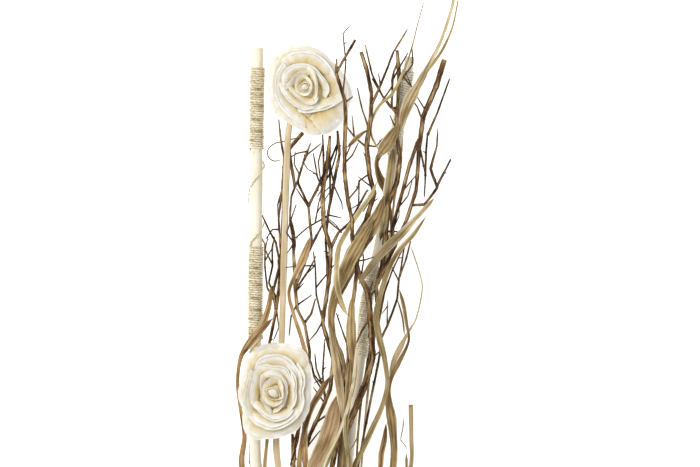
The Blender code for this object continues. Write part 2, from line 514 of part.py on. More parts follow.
def settle_heights(chains):
    """Lift and lower stems until none touches another, keeping who is in front."""
    n = 0
    for c in chains:
        c.start = n
        n += len(c.xy)
    z = np.concatenate([c.z for c in chains])
    hold = np.concatenate([c.hold for c in chains])
    depth = np.concatenate([c.depth for c in chains])
    floor = depth + 0.0
    ceiling = np.full(n, 1e3)
    for c in chains:
        if c.kind in ("stick", "cane"):
            continue
        for k, (x, y) in enumerate(c.xy):
            for rose, (centre, base, outline) in ROSES.items():
                grown = [(centre[0] + (px - centre[0]) * 1.12, centre[1] + (py - centre[1]) * 1.12)
                         for px, py in outline]
                if inside(grown, x, y):
                    tilt = c.half[k] * abs(math.sin(c.roll[k]))
                    if c.group == "twig_front":
                        floor[c.start + k] = base + 19 + c.depth[k]
                    else:
                        ceiling[c.start + k] = base - GAP - c.depth[k] - tilt - 0.4
    pairs = close_pairs(chains)
    ia, ib, ja, jb = pairs["ia"], pairs["ib"], pairs["ja"], pairs["jb"]
    s, t, rise, base_need = pairs["s"], pairs["t"], pairs["rise"], pairs["need"]
    z = np.clip(z, floor, ceiling)
    start_gap = z[ia] * (1 - s) + z[ib] * s - z[ja] * (1 - t) - z[jb] * t + rise
    sign = np.where(start_gap >= 0, 1.0, -1.0)
    wia, wib, wja, wjb = hold[ia] * (1 - s), hold[ib] * s, hold[ja] * (1 - t), hold[jb] * t
    mass = np.maximum(wia * (1 - s) + wib * s + wja * (1 - t) + wjb * t, 1e-6)
    # a place that only pinned points can move is left to the packing of the tie
    free = np.maximum(np.maximum(wia, wib), np.maximum(wja, wjb)) > 0.22
    z0 = z.copy()
    rounds = 900
    for step in range(rounds):
        slope_i = (z[ib] - z[ia]) / np.maximum(pairs["li"], 1e-6)
        slope_j = (z[jb] - z[ja]) / np.maximum(pairs["lj"], 1e-6)
        steep = np.sqrt(1 + np.minimum(np.maximum(slope_i ** 2, slope_j ** 2), 1.2))
        gap = z[ia] * (1 - s) + z[ib] * s - z[ja] * (1 - t) - z[jb] * t + rise
        miss = base_need * steep - sign * gap
        push = np.where(miss > 0, miss, 0.0) * sign / mass
        push = np.clip(push, -8, 8)
        total, count = np.zeros(n), np.zeros(n)
        hit = (miss > 0) & free
        for idx, w, dirn in ((ia, wia, 1), (ib, wib, 1), (ja, wja, -1), (jb, wjb, -1)):
            m = hit & (w > 0)
            np.add.at(total, idx[m], dirn * push[m] * w[m])
            np.add.at(count, idx[m], w[m])
        z = z + np.where(count > 0, total / np.maximum(count, 0.35), 0.0) * 0.9
        if step < rounds * 0.75:
            for c in chains:
                m = len(c.xy)
                if m < 3 or c.hold[0] == 0:
                    continue
                part = slice(c.start, c.start + m)
                d = (z[part] - z0[part]) * 0.997
                d2 = d.copy()
                d2[1:-1] = d[1:-1] * 0.6 + (d[:-2] + d[2:]) * 0.2
                z[part] = z0[part] + np.where(c.hold > 0, d2, d)
        z = np.clip(z, z0 - 14, z0 + 14)
        z = np.where(hold > 0, np.clip(z, floor, ceiling), z)
        for c in chains:
            if c.root is not None:
                parent, k, f = c.root
                z[c.start] = z[parent.start + k] * (1 - f) + z[parent.start + k + 1] * f
    close_up(chains, z, pairs, sign)
    for c in chains:
        c.z = z[c.start:c.start + len(c.xy)].copy()


def close_up(chains, z, pairs, sign):
    """Bring each loose blade against its nearest neighbour, so that nothing hangs in the air."""
    ia, ja, s, t = pairs["ia"], pairs["ja"], pairs["s"], pairs["t"]
    for c in chains:
        if c.kind != "leaf":
            continue
        first, last = c.start, c.start + len(c.xy) - 1
        slack = sign * (z[ia] * (1 - s) + z[pairs["ib"]] * s - z[ja] * (1 - t) - z[pairs["jb"]] * t
                        + pairs["rise"]) - pairs["need"]
        mine_i = (ia >= first) & (ia < last)
        mine_j = (ja >= first) & (ja < last)
        own = np.where(mine_i, ia - first, ja - first)
        low_y = c.xy[np.clip(own, 0, len(c.xy) - 1), 1]
        usable = (mine_i | mine_j) & (low_y > FAN_LOW + 10) & (slack > -0.2) & pairs["square"]
        if not usable.any():
            continue
        k = int(np.argmin(np.where(usable, slack, np.inf)))
        if slack[k] <= 0.25:
            continue
        shift = (slack[k] + 0.08) * (-sign[k] if mine_i[k] else sign[k])
        for v in range(len(c.xy)):
            away = abs(v - own[k] - 0.5)
            z[first + v] += shift * c.hold[v] * (1.0 if away < 1.6 else max(0.0, 1 - (away - 1.6) / 4))


def cross_frame(points):
    """For each course point: the direction along, the sheet-side direction and the lift."""
    pts = np.array(points, float)
    along = np.gradient(pts, axis=0)
    along /= np.maximum(np.linalg.norm(along, axis=1)[:, None], 1e-9)
    side = np.cross(along, np.array([0, 0, 1.0]))
    side /= np.maximum(np.linalg.norm(side, axis=1)[:, None], 1e-9)
    lift = np.cross(side, along)
    return pts, along, side, lift


def skin(name, rings, look):
    """A closed solid through equal rings of points, with flat ends."""
    mesh = bpy.data.meshes.new(name)
    bm = bmesh.new()
    rows = [[bm.verts.new(Vector(((p[0] - TIE_X) * MM, (p[1] - TIE_Y) * MM, p[2] * MM)))
             for p in ring] for ring in rings]
    n = len(rows[0])
    for a, b in zip(rows, rows[1:]):
        for k in range(n):
            bm.faces.new((a[k], a[(k + 1) % n], b[(k + 1) % n], b[k]))
    bm.faces.new(rows[0][::-1])
    bm.faces.new(rows[-1])
    bmesh.ops.recalc_face_normals(bm, faces=bm.faces)
    bmesh.ops.triangulate(bm, faces=bm.faces)
    bm.to_mesh(mesh)
    bm.free()
    mesh.materials.append(finish(look))
    obj = bpy.data.objects.new(name, mesh)
    bpy.context.scene.collection.objects.link(obj)
    return obj


def rod(name, points, radii, sides, look, flat=1.0):
    """A round or flattened stem along the course."""
    pts, along, side, lift = cross_frame(points)
    rings = []
    for k in range(len(pts)):
        ring = []
        for j in range(sides):
            a = 2 * math.pi * (j + 0.5) / sides
            ring.append(pts[k] + side[k] * radii[k] * math.cos(a) + lift[k] * radii[k] * flat * math.sin(a))
        rings.append(ring)
    return skin(name, rings, look)


def blade(name, chain, look):
    """A leaf blade: thin, slightly ridged along the middle where it is wide."""
    pts, along, side, lift = cross_frame(np.column_stack([chain.xy, chain.z]))
    rings = []
    wide = chain.half.max() > WIDE_BLADE
    for k in range(len(pts)):
        a = -chain.roll[k]
        across = side[k] * math.cos(a) + lift[k] * math.sin(a)
        up = lift[k] * math.cos(a) - side[k] * math.sin(a)
        h, t = chain.half[k], LEAF_T / 2
        crown = 0.32 * min(1.0, h / 4)
        if wide:
            ring = [across * -h - up * (t + crown * 0.5), up * (crown - t), across * h - up * (t + crown * 0.5),
                    across * h + up * (t - crown * 0.5), up * (crown + t), across * -h + up * (t - crown * 0.5)]
        else:
            ring = [across * -h - up * t, across * h - up * t, across * h + up * t, across * -h + up * t]
        rings.append([pts[k] + p for p in ring])
    return skin(name, rings, look)


def fuse(name, pieces, solver="EXACT"):
    """Join pieces that grow out of each other into one solid."""
    body = pieces[0]
    body.name = name
    if len(pieces) == 1:
        return body
    group = bpy.data.collections.new(name + "_shoots")
    for piece in pieces[1:]:
        bpy.context.scene.collection.objects.unlink(piece)
        group.objects.link(piece)
    mod = body.modifiers.new("join", "BOOLEAN")
    mod.operation = "UNION"
    mod.operand_type = "COLLECTION"
    mod.collection = group
    mod.solver = solver
    if solver == "EXACT":
        mod.use_self = False
    deps = bpy.context.evaluated_depsgraph_get()
    joined = bpy.data.meshes.new_from_object(body.evaluated_get(deps))
    body.modifiers.clear()
    body.data = joined
    for piece in list(group.objects):
        bpy.data.objects.remove(piece)
    bpy.data.collections.remove(group)
    tidy_mesh(body)
    return body


def tidy_mesh(obj):
    """Weld hair-thin leftovers of joining, as far as the skin stays closed."""
    for reach in (2e-5, 5e-6, 1e-6):
        bm = bmesh.new()
        bm.from_mesh(obj.data)
        bmesh.ops.remove_doubles(bm, verts=bm.verts, dist=reach)
        bmesh.ops.dissolve_degenerate(bm, dist=reach, edges=bm.edges)
        bmesh.ops.triangulate(bm, faces=bm.faces)
        drop_crumbs(bm)
        closed = all(len(e.link_faces) == 2 for e in bm.edges)
        if closed:
            bm.to_mesh(obj.data)
        bm.free()
        if closed:
            return


def drop_crumbs(bm):
    """Keep only the largest joined skin."""
    todo, islands = set(bm.verts), []
    while todo:
        stack, island = [todo.pop()], []
        while stack:
            v = stack.pop()
            island.append(v)
            for e in v.link_edges:
                w = e.other_vert(v)
                if w in todo:
                    todo.remove(w)
                    stack.append(w)
        islands.append(island)
    islands.sort(key=len)
    for island in islands[:-1]:
        bmesh.ops.delete(bm, geom=island, context="VERTS")


def course_at(chain, y):
    """The stem's centre at one sheet y."""
    pts = np.column_stack([chain.xy, chain.z])
    for a, b in zip(pts, pts[1:]):
        if b[1] <= y <= a[1]:
            return a + (b - a) * (a[1] - y) / (a[1] - b[1])
    return pts[0]


def wind(name, chain, radius, low, high, tail):
    """A band of wound twine, ridged turn by turn, with its loose tail."""
    count = max(2, round((high - low) / (WRAP_PITCH / 2)))
    spots = [course_at(chain, high - (high - low) * k / count) for k in range(count + 1)]
    pts, along, side, lift = cross_frame(spots)
    rows = [(pts[k], side[k], lift[k], radius + WRAP_CLEAR + (TWINE_D if k % 2 else TWINE_D * 0.62))
            for k in range(count + 1)]
    pts, along, side, lift = cross_frame(np.column_stack([chain.xy, chain.z]))
    rows += [(pts[k], side[k], lift[k], radius + WRAP_CLEAR)
             for k in range(len(pts) - 1, -1, -1) if low <= pts[k][1] <= high]
    mesh = bpy.data.meshes.new(name)
    bm = bmesh.new()
    rings = []
    for p, sd, lf, r in rows:
        ring = []
        for j in range(STICK_SIDES):
            a = 2 * math.pi * (j + 0.5) / STICK_SIDES
            q = p + sd * r * math.cos(a) + lf * r * math.sin(a)
            ring.append(bm.verts.new(Vector(((q[0] - TIE_X) * MM, (q[1] - TIE_Y) * MM, q[2] * MM))))
        rings.append(ring)
    for a, b in zip(rings, rings[1:] + rings[:1]):
        for j in range(STICK_SIDES):
            n = (j + 1) % STICK_SIDES
            bm.faces.new((a[j], a[n], b[n], b[j]))
    bmesh.ops.recalc_face_normals(bm, faces=bm.faces)
    bmesh.ops.triangulate(bm, faces=bm.faces)
    bm.to_mesh(mesh)
    bm.free()
    mesh.materials.append(finish("twine"))
    band = bpy.data.objects.new(name, mesh)
    bpy.context.scene.collection.objects.link(band)
    pieces = [band]
    if tail:
        pts = []
        for y, angle, out in tail:
            c = course_at(chain, y)
            reach = radius + WRAP_CLEAR + out
            pts.append((c[0] + reach * math.cos(math.radians(angle)), y,
                        c[2] + reach * math.sin(math.radians(angle))))
        pieces.append(rod(name + "_tail", pts, [TWINE_D * 0.42] * len(pts), 5, "twine"))
    return fuse(name, pieces)


def rim_radius(outline, centre, angle):
    """How far the rose reaches from its heart in one direction."""
    polar = sorted((math.atan2(y - centre[1], x - centre[0]), math.hypot(x - centre[0], y - centre[1]))
                   for x, y in outline)
    polar = [(polar[-1][0] - 2 * math.pi, polar[-1][1])] + polar + [(polar[0][0] + 2 * math.pi, polar[0][1])]
    angle = (angle + math.pi) % (2 * math.pi) - math.pi
    for (a, ra), (b, rb) in zip(polar, polar[1:]):
        if a <= angle <= b:
            return ra + (rb - ra) * (angle - a) / max(b - a, 1e-9)
    return polar[0][1]


# Petal rows of a rose: count, first angle, spread, root and rim reach (share of the outline),
# root and rim height, lean of the rim.
PETAL_ROWS = [
    (5, 20, 92, 0.47, 0.985, 3.0, 7.5, 2.0),
    (5, 55, 88, 0.36, 0.83, 4.5, 13.0, 2.4),
    (4, 10, 108, 0.25, 0.65, 5.0, 18.0, 2.0),
    (3, 40, 135, 0.15, 0.46, 5.5, 21.5, 1.6),
]
PETAL_T = 0.9
PETAL_COLUMNS = 4
CUP_SIDES = 13


def petal(name, rose, base, a0, spread, root, rim, z0, z1, lean):
    """One cut sheet petal, cupped round the heart, its upper edge leaning out."""
    centre, outline = rose
    grid = []
    for k in range(PETAL_COLUMNS + 1):
        u = k / PETAL_COLUMNS
        a = math.radians(a0 + spread * (u - 0.5))
        reach = rim_radius(outline, centre, a)
        full = 1 - abs(2 * u - 1) ** 3
        column = []
        for v, outward, high in ((0.0, 0.0, 0.0), (0.6, 0.66, 0.62), (1.0, 1.0, 1.0)):
            grow = v * (0.72 + 0.28 * full)
            r = reach * (root + (rim - root) * outward * (0.86 + 0.14 * full))
            r += lean * (v > 0.95) * full
            z = base + z0 + (z1 - z0) * high * (0.62 + 0.38 * full) - (1.1 * full if v > 0.95 else 0)
            z += 1.3 * (u - 0.5) * grow
            column.append(np.array([centre[0] + r * math.cos(a), centre[1] + r * math.sin(a), z]))
        grid.append(column)
    return sheet(name, grid)


def sheet(name, grid):
    """A thin closed sheet through a grid of points."""
    g = np.array(grid)
    du = np.gradient(g, axis=0)
    dv = np.gradient(g, axis=1)
    normal = np.cross(du, dv)
    normal /= np.maximum(np.linalg.norm(normal, axis=2)[..., None], 1e-9)
    front, back = g + normal * PETAL_T / 2, g - normal * PETAL_T / 2
    nu, nv = g.shape[:2]
    border = [(i, 0) for i in range(nu)] + [(nu - 1, j) for j in range(1, nv)] + \
             [(i, nv - 1) for i in range(nu - 2, -1, -1)] + [(0, j) for j in range(nv - 2, 0, -1)]
    mesh = bpy.data.meshes.new(name)
    bm = bmesh.new()
    face = {}
    for label, pts in (("f", front), ("b", back)):
        for i in range(nu):
            for j in range(nv):
                p = pts[i, j]
                face[label, i, j] = bm.verts.new(Vector(((p[0] - TIE_X) * MM, (p[1] - TIE_Y) * MM, p[2] * MM)))
    for i in range(nu - 1):
        for j in range(nv - 1):
            bm.faces.new([face["f", i, j], face["f", i + 1, j], face["f", i + 1, j + 1], face["f", i, j + 1]])
            bm.faces.new([face["b", i, j + 1], face["b", i + 1, j + 1], face["b", i + 1, j], face["b", i, j]])
    for a, b in zip(border, border[1:] + border[:1]):
        bm.faces.new([face["f", *b], face["f", *a], face["b", *a], face["b", *b]])
    bmesh.ops.recalc_face_normals(bm, faces=bm.faces)
    bmesh.ops.triangulate(bm, faces=bm.faces)
    bm.to_mesh(mesh)
    bm.free()
    mesh.materials.append(finish("rose_sheet"))
    obj = bpy.data.objects.new(name, mesh)
    bpy.context.scene.collection.objects.link(obj)
    return obj


def rose(name, centre, base, outline, turn):
    """A rose of cut sheet: a low cup, rows of petals and a coiled heart."""
    pieces = []
    rings = []
    for z, share in ((0.0, 0.50), (2.0, 0.60), (5.5, 0.58), (8.0, 0.34), (9.0, 0.14)):
        ring = []
        for j in range(CUP_SIDES):
            a = 2 * math.pi * j / CUP_SIDES
            r = rim_radius(outline, centre, a) * share
            ring.append((centre[0] + r * math.cos(a), centre[1] + r * math.sin(a), base + z))
        rings.append(ring)
    pieces.append(skin(name + "_cup", rings, "rose_sheet"))
    for row, (count, first, spread, root, rim, z0, z1, lean) in enumerate(PETAL_ROWS):
        for k in range(count):
            a0 = first + turn + 360 * k / count + 7 * math.sin(3.1 * k + row)
            sway = 1 + 0.035 * math.sin(2.3 * k + 1.7 * row + turn)
            pieces.append(petal(f"{name}_petal_{row}_{k}", (centre, outline), base, a0, spread, root,
                                min(rim * sway, 0.995), z0, z1 * (1 + 0.05 * math.sin(1.9 * k + row)), lean))
    coil = []
    for k in range(17):
        a = math.radians(turn + 45 * k)
        r = 1.7 + 0.42 * k
        coil.append([np.array([centre[0] + (r + lean) * math.cos(a), centre[1] + (r + lean) * math.sin(a), base + z])
                     for z, lean in ((6.0, 0.0), (24.0 - 0.06 * k, 0.6))])
    pieces.append(sheet(name + "_heart", coil))
    return fuse(name, pieces, "MANIFOLD")


def tie(name):
    """The wound tie: five ridged turns, pressed flat where the bunch lies on them."""
    rows = TIE_TURNS * 2
    profile = [(TIE_LENGTH * (0.5 - k / rows), TWINE_TIE_D if k % 2 else TWINE_TIE_D * 0.62)
               for k in range(rows + 1)]
    profile += [(-TIE_LENGTH / 2, 0.0), (TIE_LENGTH / 2, 0.0)]
    mesh = bpy.data.meshes.new(name)
    bm = bmesh.new()
    rings = []
    for k, (y, thick) in enumerate(profile):
        ring = []
        for j in range(TIE_SIDES):
            a = 2 * math.pi * (j + 0.5) / TIE_SIDES
            x = (TIE_HALF_W + thick) * math.cos(a)
            z = TIE_CENTRE_Z + (TIE_HALF_H + thick) * math.sin(a)
            if 0 < k < rows and math.sin(a) < -0.94:
                z = 0.0
            ring.append(bm.verts.new(Vector((x * MM, y * MM, z * MM))))
        rings.append(ring)
    for a, b in zip(rings, rings[1:] + rings[:1]):
        for j in range(TIE_SIDES):
            bm.faces.new((a[j], a[(j + 1) % TIE_SIDES], b[(j + 1) % TIE_SIDES], b[j]))
    press_flat(bm)
    bmesh.ops.recalc_face_normals(bm, faces=bm.faces)
    bmesh.ops.triangulate(bm, faces=bm.faces)
    bm.to_mesh(mesh)
    bm.free()
    mesh.materials.append(finish("twine"))
    obj = bpy.data.objects.new(name, mesh)
    bpy.context.scene.collection.objects.link(obj)
    return obj


def press_flat(bm):
    """Give the flattened turns one plain flat face round the origin to rest on."""
    flat = [f for f in bm.faces if all(abs(v.co.z) < 1e-9 for v in f.verts)]
    rim = [e for e in bm.edges if sum(f in flat for f in e.link_faces) == 1]
    bmesh.ops.delete(bm, geom=flat, context="FACES")
    pad = [bm.verts.new(Vector((x * MM, y * MM, 0.0))) for x, y in REST_PAD]
    sides = [bm.edges.new((a, b)) for a, b in zip(pad, pad[1:] + pad[:1])]
    bmesh.ops.triangle_fill(bm, use_beauty=True, use_dissolve=False, edges=rim + sides)
    if not any(all(v in pad for v in f.verts) for f in bm.faces):
        bm.faces.new(pad)


# Loose twine ends: sheet y, angle round the stick (0 right, 90 front), distance off its skin.
TAILS = {
    "twine_left_upper": [(430, 180, 0.8), (426, 225, 1.3), (422, 270, 1.3), (417, 315, 1.3), (413, 0, 1.3),
                         (408, 45, 1.3), (402, 90, 1.3), (396, 130, 1.4), (389, 165, 1.6), (376, 178, 2.0)],
    "twine_left_lower": [(334, 150, 0.8), (340, 135, 1.3), (345, 100, 1.3), (350, 65, 1.3), (355, 30, 1.3),
                         (359, 5, 1.6)],
    "twine_right_upper": None,
    "twine_right_lower": None,
}


def build():
    for obj in list(bpy.data.objects):
        bpy.data.objects.remove(obj)
    chains = grow_chains()
    settle_heights(chains)
    by_name = {}
    for c in chains:
        by_name.setdefault(c.group, []).append(c)
    for name in RIGID:
        c = by_name[name][0]
        pts = np.column_stack([c.xy, c.z])
        stick = name.startswith("peeled")
        half = RIGID[name][0]
        if stick:
            rod(name, pts, [half] * len(pts), STICK_SIDES, "peeled_stick")
        else:
            rod(name, pts, [half] * len(pts), 8, "cane", flat=(CANE_T / 2 if half > 2.5 else 1.2) / half)
    for name, (host, low, high) in WRAPS.items():
        wind(name, by_name[host][0], RIGID[host][0], low, high, TAILS[name])
    for name in SPRAYS:
        pieces = []
        for k, c in enumerate(by_name[name]):
            pts = np.column_stack([c.xy, c.z])
            pieces.append(rod(f"{name}_{k}", pts, c.half, 5 if c.half.max() > 0.95 else 4, "twig_bark"))
        fuse(name, pieces)
    for name, leaf in LEAVES.items():
        blade(name, by_name[name][0], leaf[2])
    rose("rose_top", *ROSES["rose_top"], 15)
    rose("rose_bottom", *ROSES["rose_bottom"], 70)
    tie("tie_twine")


if __name__ == "__main__":
    build()
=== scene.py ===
# Dried flower bouquet seen from above: bark twigs, dry palm-like blades, two peeled willow sticks
# bound with sisal twine, and two roses of shaved pith sheet. The bunch lies on z = 0, tips along
# +Y, show side up, with the tie at the origin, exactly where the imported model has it.
import math
import random
from functools import cache

import bpy
import numpy as np
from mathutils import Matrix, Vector, noise


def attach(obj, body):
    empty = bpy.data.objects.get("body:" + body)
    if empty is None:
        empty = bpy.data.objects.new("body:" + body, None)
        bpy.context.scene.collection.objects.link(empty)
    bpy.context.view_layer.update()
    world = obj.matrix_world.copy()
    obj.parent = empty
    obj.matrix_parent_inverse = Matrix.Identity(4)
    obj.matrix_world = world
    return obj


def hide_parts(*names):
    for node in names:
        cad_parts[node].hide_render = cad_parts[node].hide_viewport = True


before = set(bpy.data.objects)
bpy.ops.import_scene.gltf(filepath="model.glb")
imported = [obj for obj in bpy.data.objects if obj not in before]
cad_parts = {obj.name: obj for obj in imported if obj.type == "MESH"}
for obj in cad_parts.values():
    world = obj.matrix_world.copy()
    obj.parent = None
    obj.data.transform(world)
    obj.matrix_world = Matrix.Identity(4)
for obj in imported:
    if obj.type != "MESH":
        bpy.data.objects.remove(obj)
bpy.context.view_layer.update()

MM = 0.001
# Courses are laid out on a sheet in millimetres; this sheet point is the origin.
TIE_X, TIE_Y = 30.0, -75.0
GAP = 0.36                         # air between stems that cross
FAN_LOW, FAN_HIGH = -50.0, 330.0   # the fan starts at the first and is fully open at the second
STRAIGHT_RUN = 50.0                # length below the fan in which the stems run straight, through the tie
CUT_LOW, CUT_VARIES = -158.0, 9.0  # the cut ends
END_FLARE, FLARE_Y = 1.12, -105.0  # how much the bundle opens again below this height
BUNDLE_STEPS = (80, 35, -8)        # sheet heights at which the drawn-in stems turn
TIE_CENTRE_Z = 15.3
TIE_HALF_W, TIE_HALF_H = 22.6, 12.7
TIE_TURNS, TIE_LENGTH = 5, 21.0
TWINE_TIE_D = 2.6
STICK_LEFT_R, STICK_RIGHT_R = 5.5, 4.5
TWINE_D = 1.6
WRAP_CLEAR = 0.3                   # air between a stick and the twine on it
LEAF_T = 0.8                       # room kept for a blade's thickness
WIDE_BLADE = 2.7                   # a blade with a greater half width folds deeper
FOLD_ROOM, SKIN_ROOM = 0.3, 0.06   # room kept for that fold, and for any other skin
CANE_T, STRIP_T = 3.4, 2.4         # thickness of the upper rose's cane, and of the other strips
THIN_STRIP = 2.5                   # half width under which a split cane is such a strip

# Twig sprays. Each: height of the head (mm), slot in the tie (x, z), thickness, course from the
# tip down to where the bundle begins, then side shoots: thickness, rise, course from the root out.
# A course point is (x, y) or (x, y, thickness) or (x, y, thickness, lift).
SPRAYS = {
    "twig_front": (73, (-4.6, 7.2), 3.4, [
        (44.5, 513, 1.6, 10), (44, 500, 2.4, 10), (48, 487, 3, 8), (52, 474, 3, 4), (53, 458),
        (52, 430), (52, 405), (55, 380), (59, 361), (59, 343), (64, 324), (62, 298),
        (58, 272), (57, 245, 3.4, 6), (54, 215, 3.4, 9), (50, 180, 3.6, 9), (47, 155, 4, 7),
        (40, 127, 4.2, 3)], [
        (2.6, 4, [(44, 500), (48, 507), (62, 531)]),
        (1.8, 5, [(53, 472), (60, 477.5)]),
        (1.6, 6, [(52, 415), (59, 422), (65, 434)]),
        (1.4, 9, [(51.5, 419), (56, 428), (60, 437)]),
        (1.4, -8, [(51, 480), (53, 510), (50.5, 537), (58, 546)]),
        (1.6, 7, [(55, 380), (64, 391), (65.5, 399)]),
        (2.2, -7, [(64, 324), (71, 336), (79, 345)]),
    ]),
    "twig_left": (27, (-12.8, 6.9), 3.0, [
        (-11, 457, 1.8), (-9, 438), (-6, 420), (-8, 390), (-11, 362), (-9, 330),
        (-10.5, 300, 3.4), (-13, 278), (-19.5, 245), (-29, 205), (-37, 165, 2.4), (-38.5, 130, 2.4)], [
        (1.6, -10, [(-8, 388), (-12, 376), (-11.5, 360)]),
        (2.2, 8, [(-10.5, 318), (-14, 340), (-20, 351), (-27, 366)]),
        (2.0, -14, [(-14, 285), (-20.5, 301), (-17, 318), (-17.5, 335), (-15, 345)]),
        (1.9, -40, [(-13, 280), (-21.5, 291), (-24.5, 314), (-25, 342), (-46, 368)]),
        (1.5, -8, [(-25, 322), (-16, 337)]),
        (1.6, 10, [(-9, 352), (-17, 352), (-23, 343)]),
        (3.0, 8, [(-14, 276), (-16.5, 292), (-11, 315), (-9, 327)]),
    ]),
    "twig_mid_left": (44, (-4.2, 12.6), 3.0, [
        (19.5, 434, 1.8), (14, 420), (8, 400), (1, 383), (0, 360), (3, 340), (4, 318),
        (5, 296, 3.4), (7, 276), (14, 261), (18.5, 236), (17, 200), (9, 166), (4, 145, 4), (3, 127, 4.2)], [
        (1.6, 8, [(13, 418), (17, 424), (30, 434)]),
        (2.8, -6, [(5, 392), (-1, 428), (12, 444)]),
        (2.4, 10, [(5, 298), (13, 318), (20.5, 340), (19, 357), (17, 376), (8, 395), (8, 404)]),
        (1.9, 4, [(17, 374), (26, 391), (34, 410)]),
        (1.5, 8, [(17, 374), (6, 391)]),
        (1.9, -9, [(18, 333), (23, 342), (31, 357)]),
        (2.1, -10, [(14, 263), (20, 272), (24, 286)]),
        (1.4, -10, [(7, 280), (21, 290)]),
        (1.4, 8, [(3, 340), (-3, 349), (6, 376)]),
        (1.8, 9, [(10, 168), (7, 150), (0, 127)]),
    ]),
    "twig_mid": (54, (2.6, 15.2), 3.4, [
        (38, 441, 1.8), (36, 418), (31, 388), (32, 358), (38.5, 334), (38, 312), (34, 284),
        (31, 263), (36, 246), (41, 228), (38, 200), (31, 182), (19, 157), (13, 139), (14, 126)], [
        (1.8, 8, [(32, 395), (31.5, 430), (31, 443)]),
        (2.4, -8, [(39, 334), (46, 349), (57, 359), (66, 376), (74, 391)]),
        (2.2, -12, [(36, 300), (34, 340), (36, 366), (42, 398), (47, 424), (45, 446)]),
        (1.8, -6, [(38, 378), (38, 416), (46, 436)]),
        (1.4, -6, [(35, 365), (17, 354), (4, 343)]),
        (1.4, 7, [(35, 361), (49, 349)]),
        (1.6, 9, [(31, 265), (25, 290), (24, 318), (22, 332)]),
        (1.4, 6, [(24, 318), (7, 317), (-4, 316)]),
        (1.4, -9, [(25, 297), (36, 311), (44, 321)]),
        (1.5, 10, [(31, 265), (25, 254), (18, 246)]),
        (1.8, 8, [(34, 188), (31, 215), (33, 248)]),
        (1.4, 6, [(30, 202), (23, 214), (20, 227)]),
        (1.5, -6, [(24, 168), (37, 177), (42, 181)]),
        (1.6, -11, [(31, 390), (26, 402), (22, 425)]),
    ]),
    "twig_trunk": (42, (1.2, 8.8), 4.2, [
        (67.5, 521, 2.4), (73, 504, 3), (77.5, 482, 3.2), (77, 462, 3.4), (73, 430, 3.6), (76, 402, 3.6),
        (80, 386, 3.8), (72, 360), (60, 340), (62, 322), (67, 306), (74, 293, 5), (77, 262, 5),
        (78.5, 230, 5.2), (71, 203, 5.4), (60, 176, 5.4), (53, 160, 5.4), (50, 127, 5.2)], [
        (2.4, 6, [(78, 470), (86, 489), (98, 520), (112, 543)]),
        (1.5, 8, [(86, 489), (84, 500)]),
        (1.6, -10, [(74, 447), (69, 465), (64, 487)]),
        (1.8, 7, [(73, 430), (61, 440), (53, 451)]),
        (1.5, 8, [(61, 440), (59, 460)]),
        (1.5, -6, [(74, 432), (82, 431), (88, 439)]),
        (1.5, 8, [(75, 405), (66, 398), (65, 376), (57, 371)]),
        (1.5, 9, [(80, 386), (69, 368)]),
        (1.6, -8, [(73, 363), (79, 378), (84, 382)]),
        (1.6, 9, [(62, 322), (71, 323), (80, 326)]),
        (2.0, -6, [(76, 268), (68, 255), (63, 243)]),
    ]),
    "twig_right": (30, (17.0, 14.6), 3.6, [
        (102, 523, 2.0), (104, 497), (102, 468, 3), (101, 446), (105, 420), (102, 398), (93, 374),
        (91, 345), (88, 320), (82, 297, 4), (84, 262, 4), (86, 236, 4), (80, 205, 4), (72, 165, 4),
        (65, 127, 4)], [
        (2.2, 8, [(101, 462), (88, 479), (78, 500), (71.5, 528)]),
        (2.0, 10, [(96, 468), (98, 495), (112, 520)]),
        (2.0, 6, [(97, 489), (82, 466)]),
        (1.6, 4, [(100, 447), (95, 461)]),
        (3.4, -4, [(86, 300), (97, 330), (111, 361), (120, 390), (123, 430), (127, 460), (139, 488),
                   (147, 514)]),
        (2.6, 8, [(98, 333), (98, 355), (108, 392), (113, 411), (123, 440)]),
        (1.6, 3, [(126, 455), (121, 469), (115, 477)]),
        (1.8, -10, [(123, 432), (129, 405), (128, 383)]),
        (1.7, 8, [(129, 462), (140, 463), (152, 496)]),
        (2.2, -10, [(116, 375), (128, 376), (140, 392), (134, 410), (140, 432), (141, 449)]),
        (1.6, 8, [(140, 393), (153, 419)]),
        (1.4, 8, [(108, 388), (121, 405)]),
        (2.2, -12, [(87, 246), (93, 261), (102, 286), (104, 306), (110, 322), (115, 341)]),
        (1.8, -14, [(104, 308), (108, 330), (110, 338)]),
        (1.9, -8, [(88, 262), (90, 292), (97, 312), (109, 337)]),
        (1.8, -46, [(93, 350), (116, 350), (136, 352)]),
        (1.6, -6, [(117, 492), (117, 510), (116, 527)]),
        (1.4, 6, [(109, 497), (117, 486)]),
    ]),
}

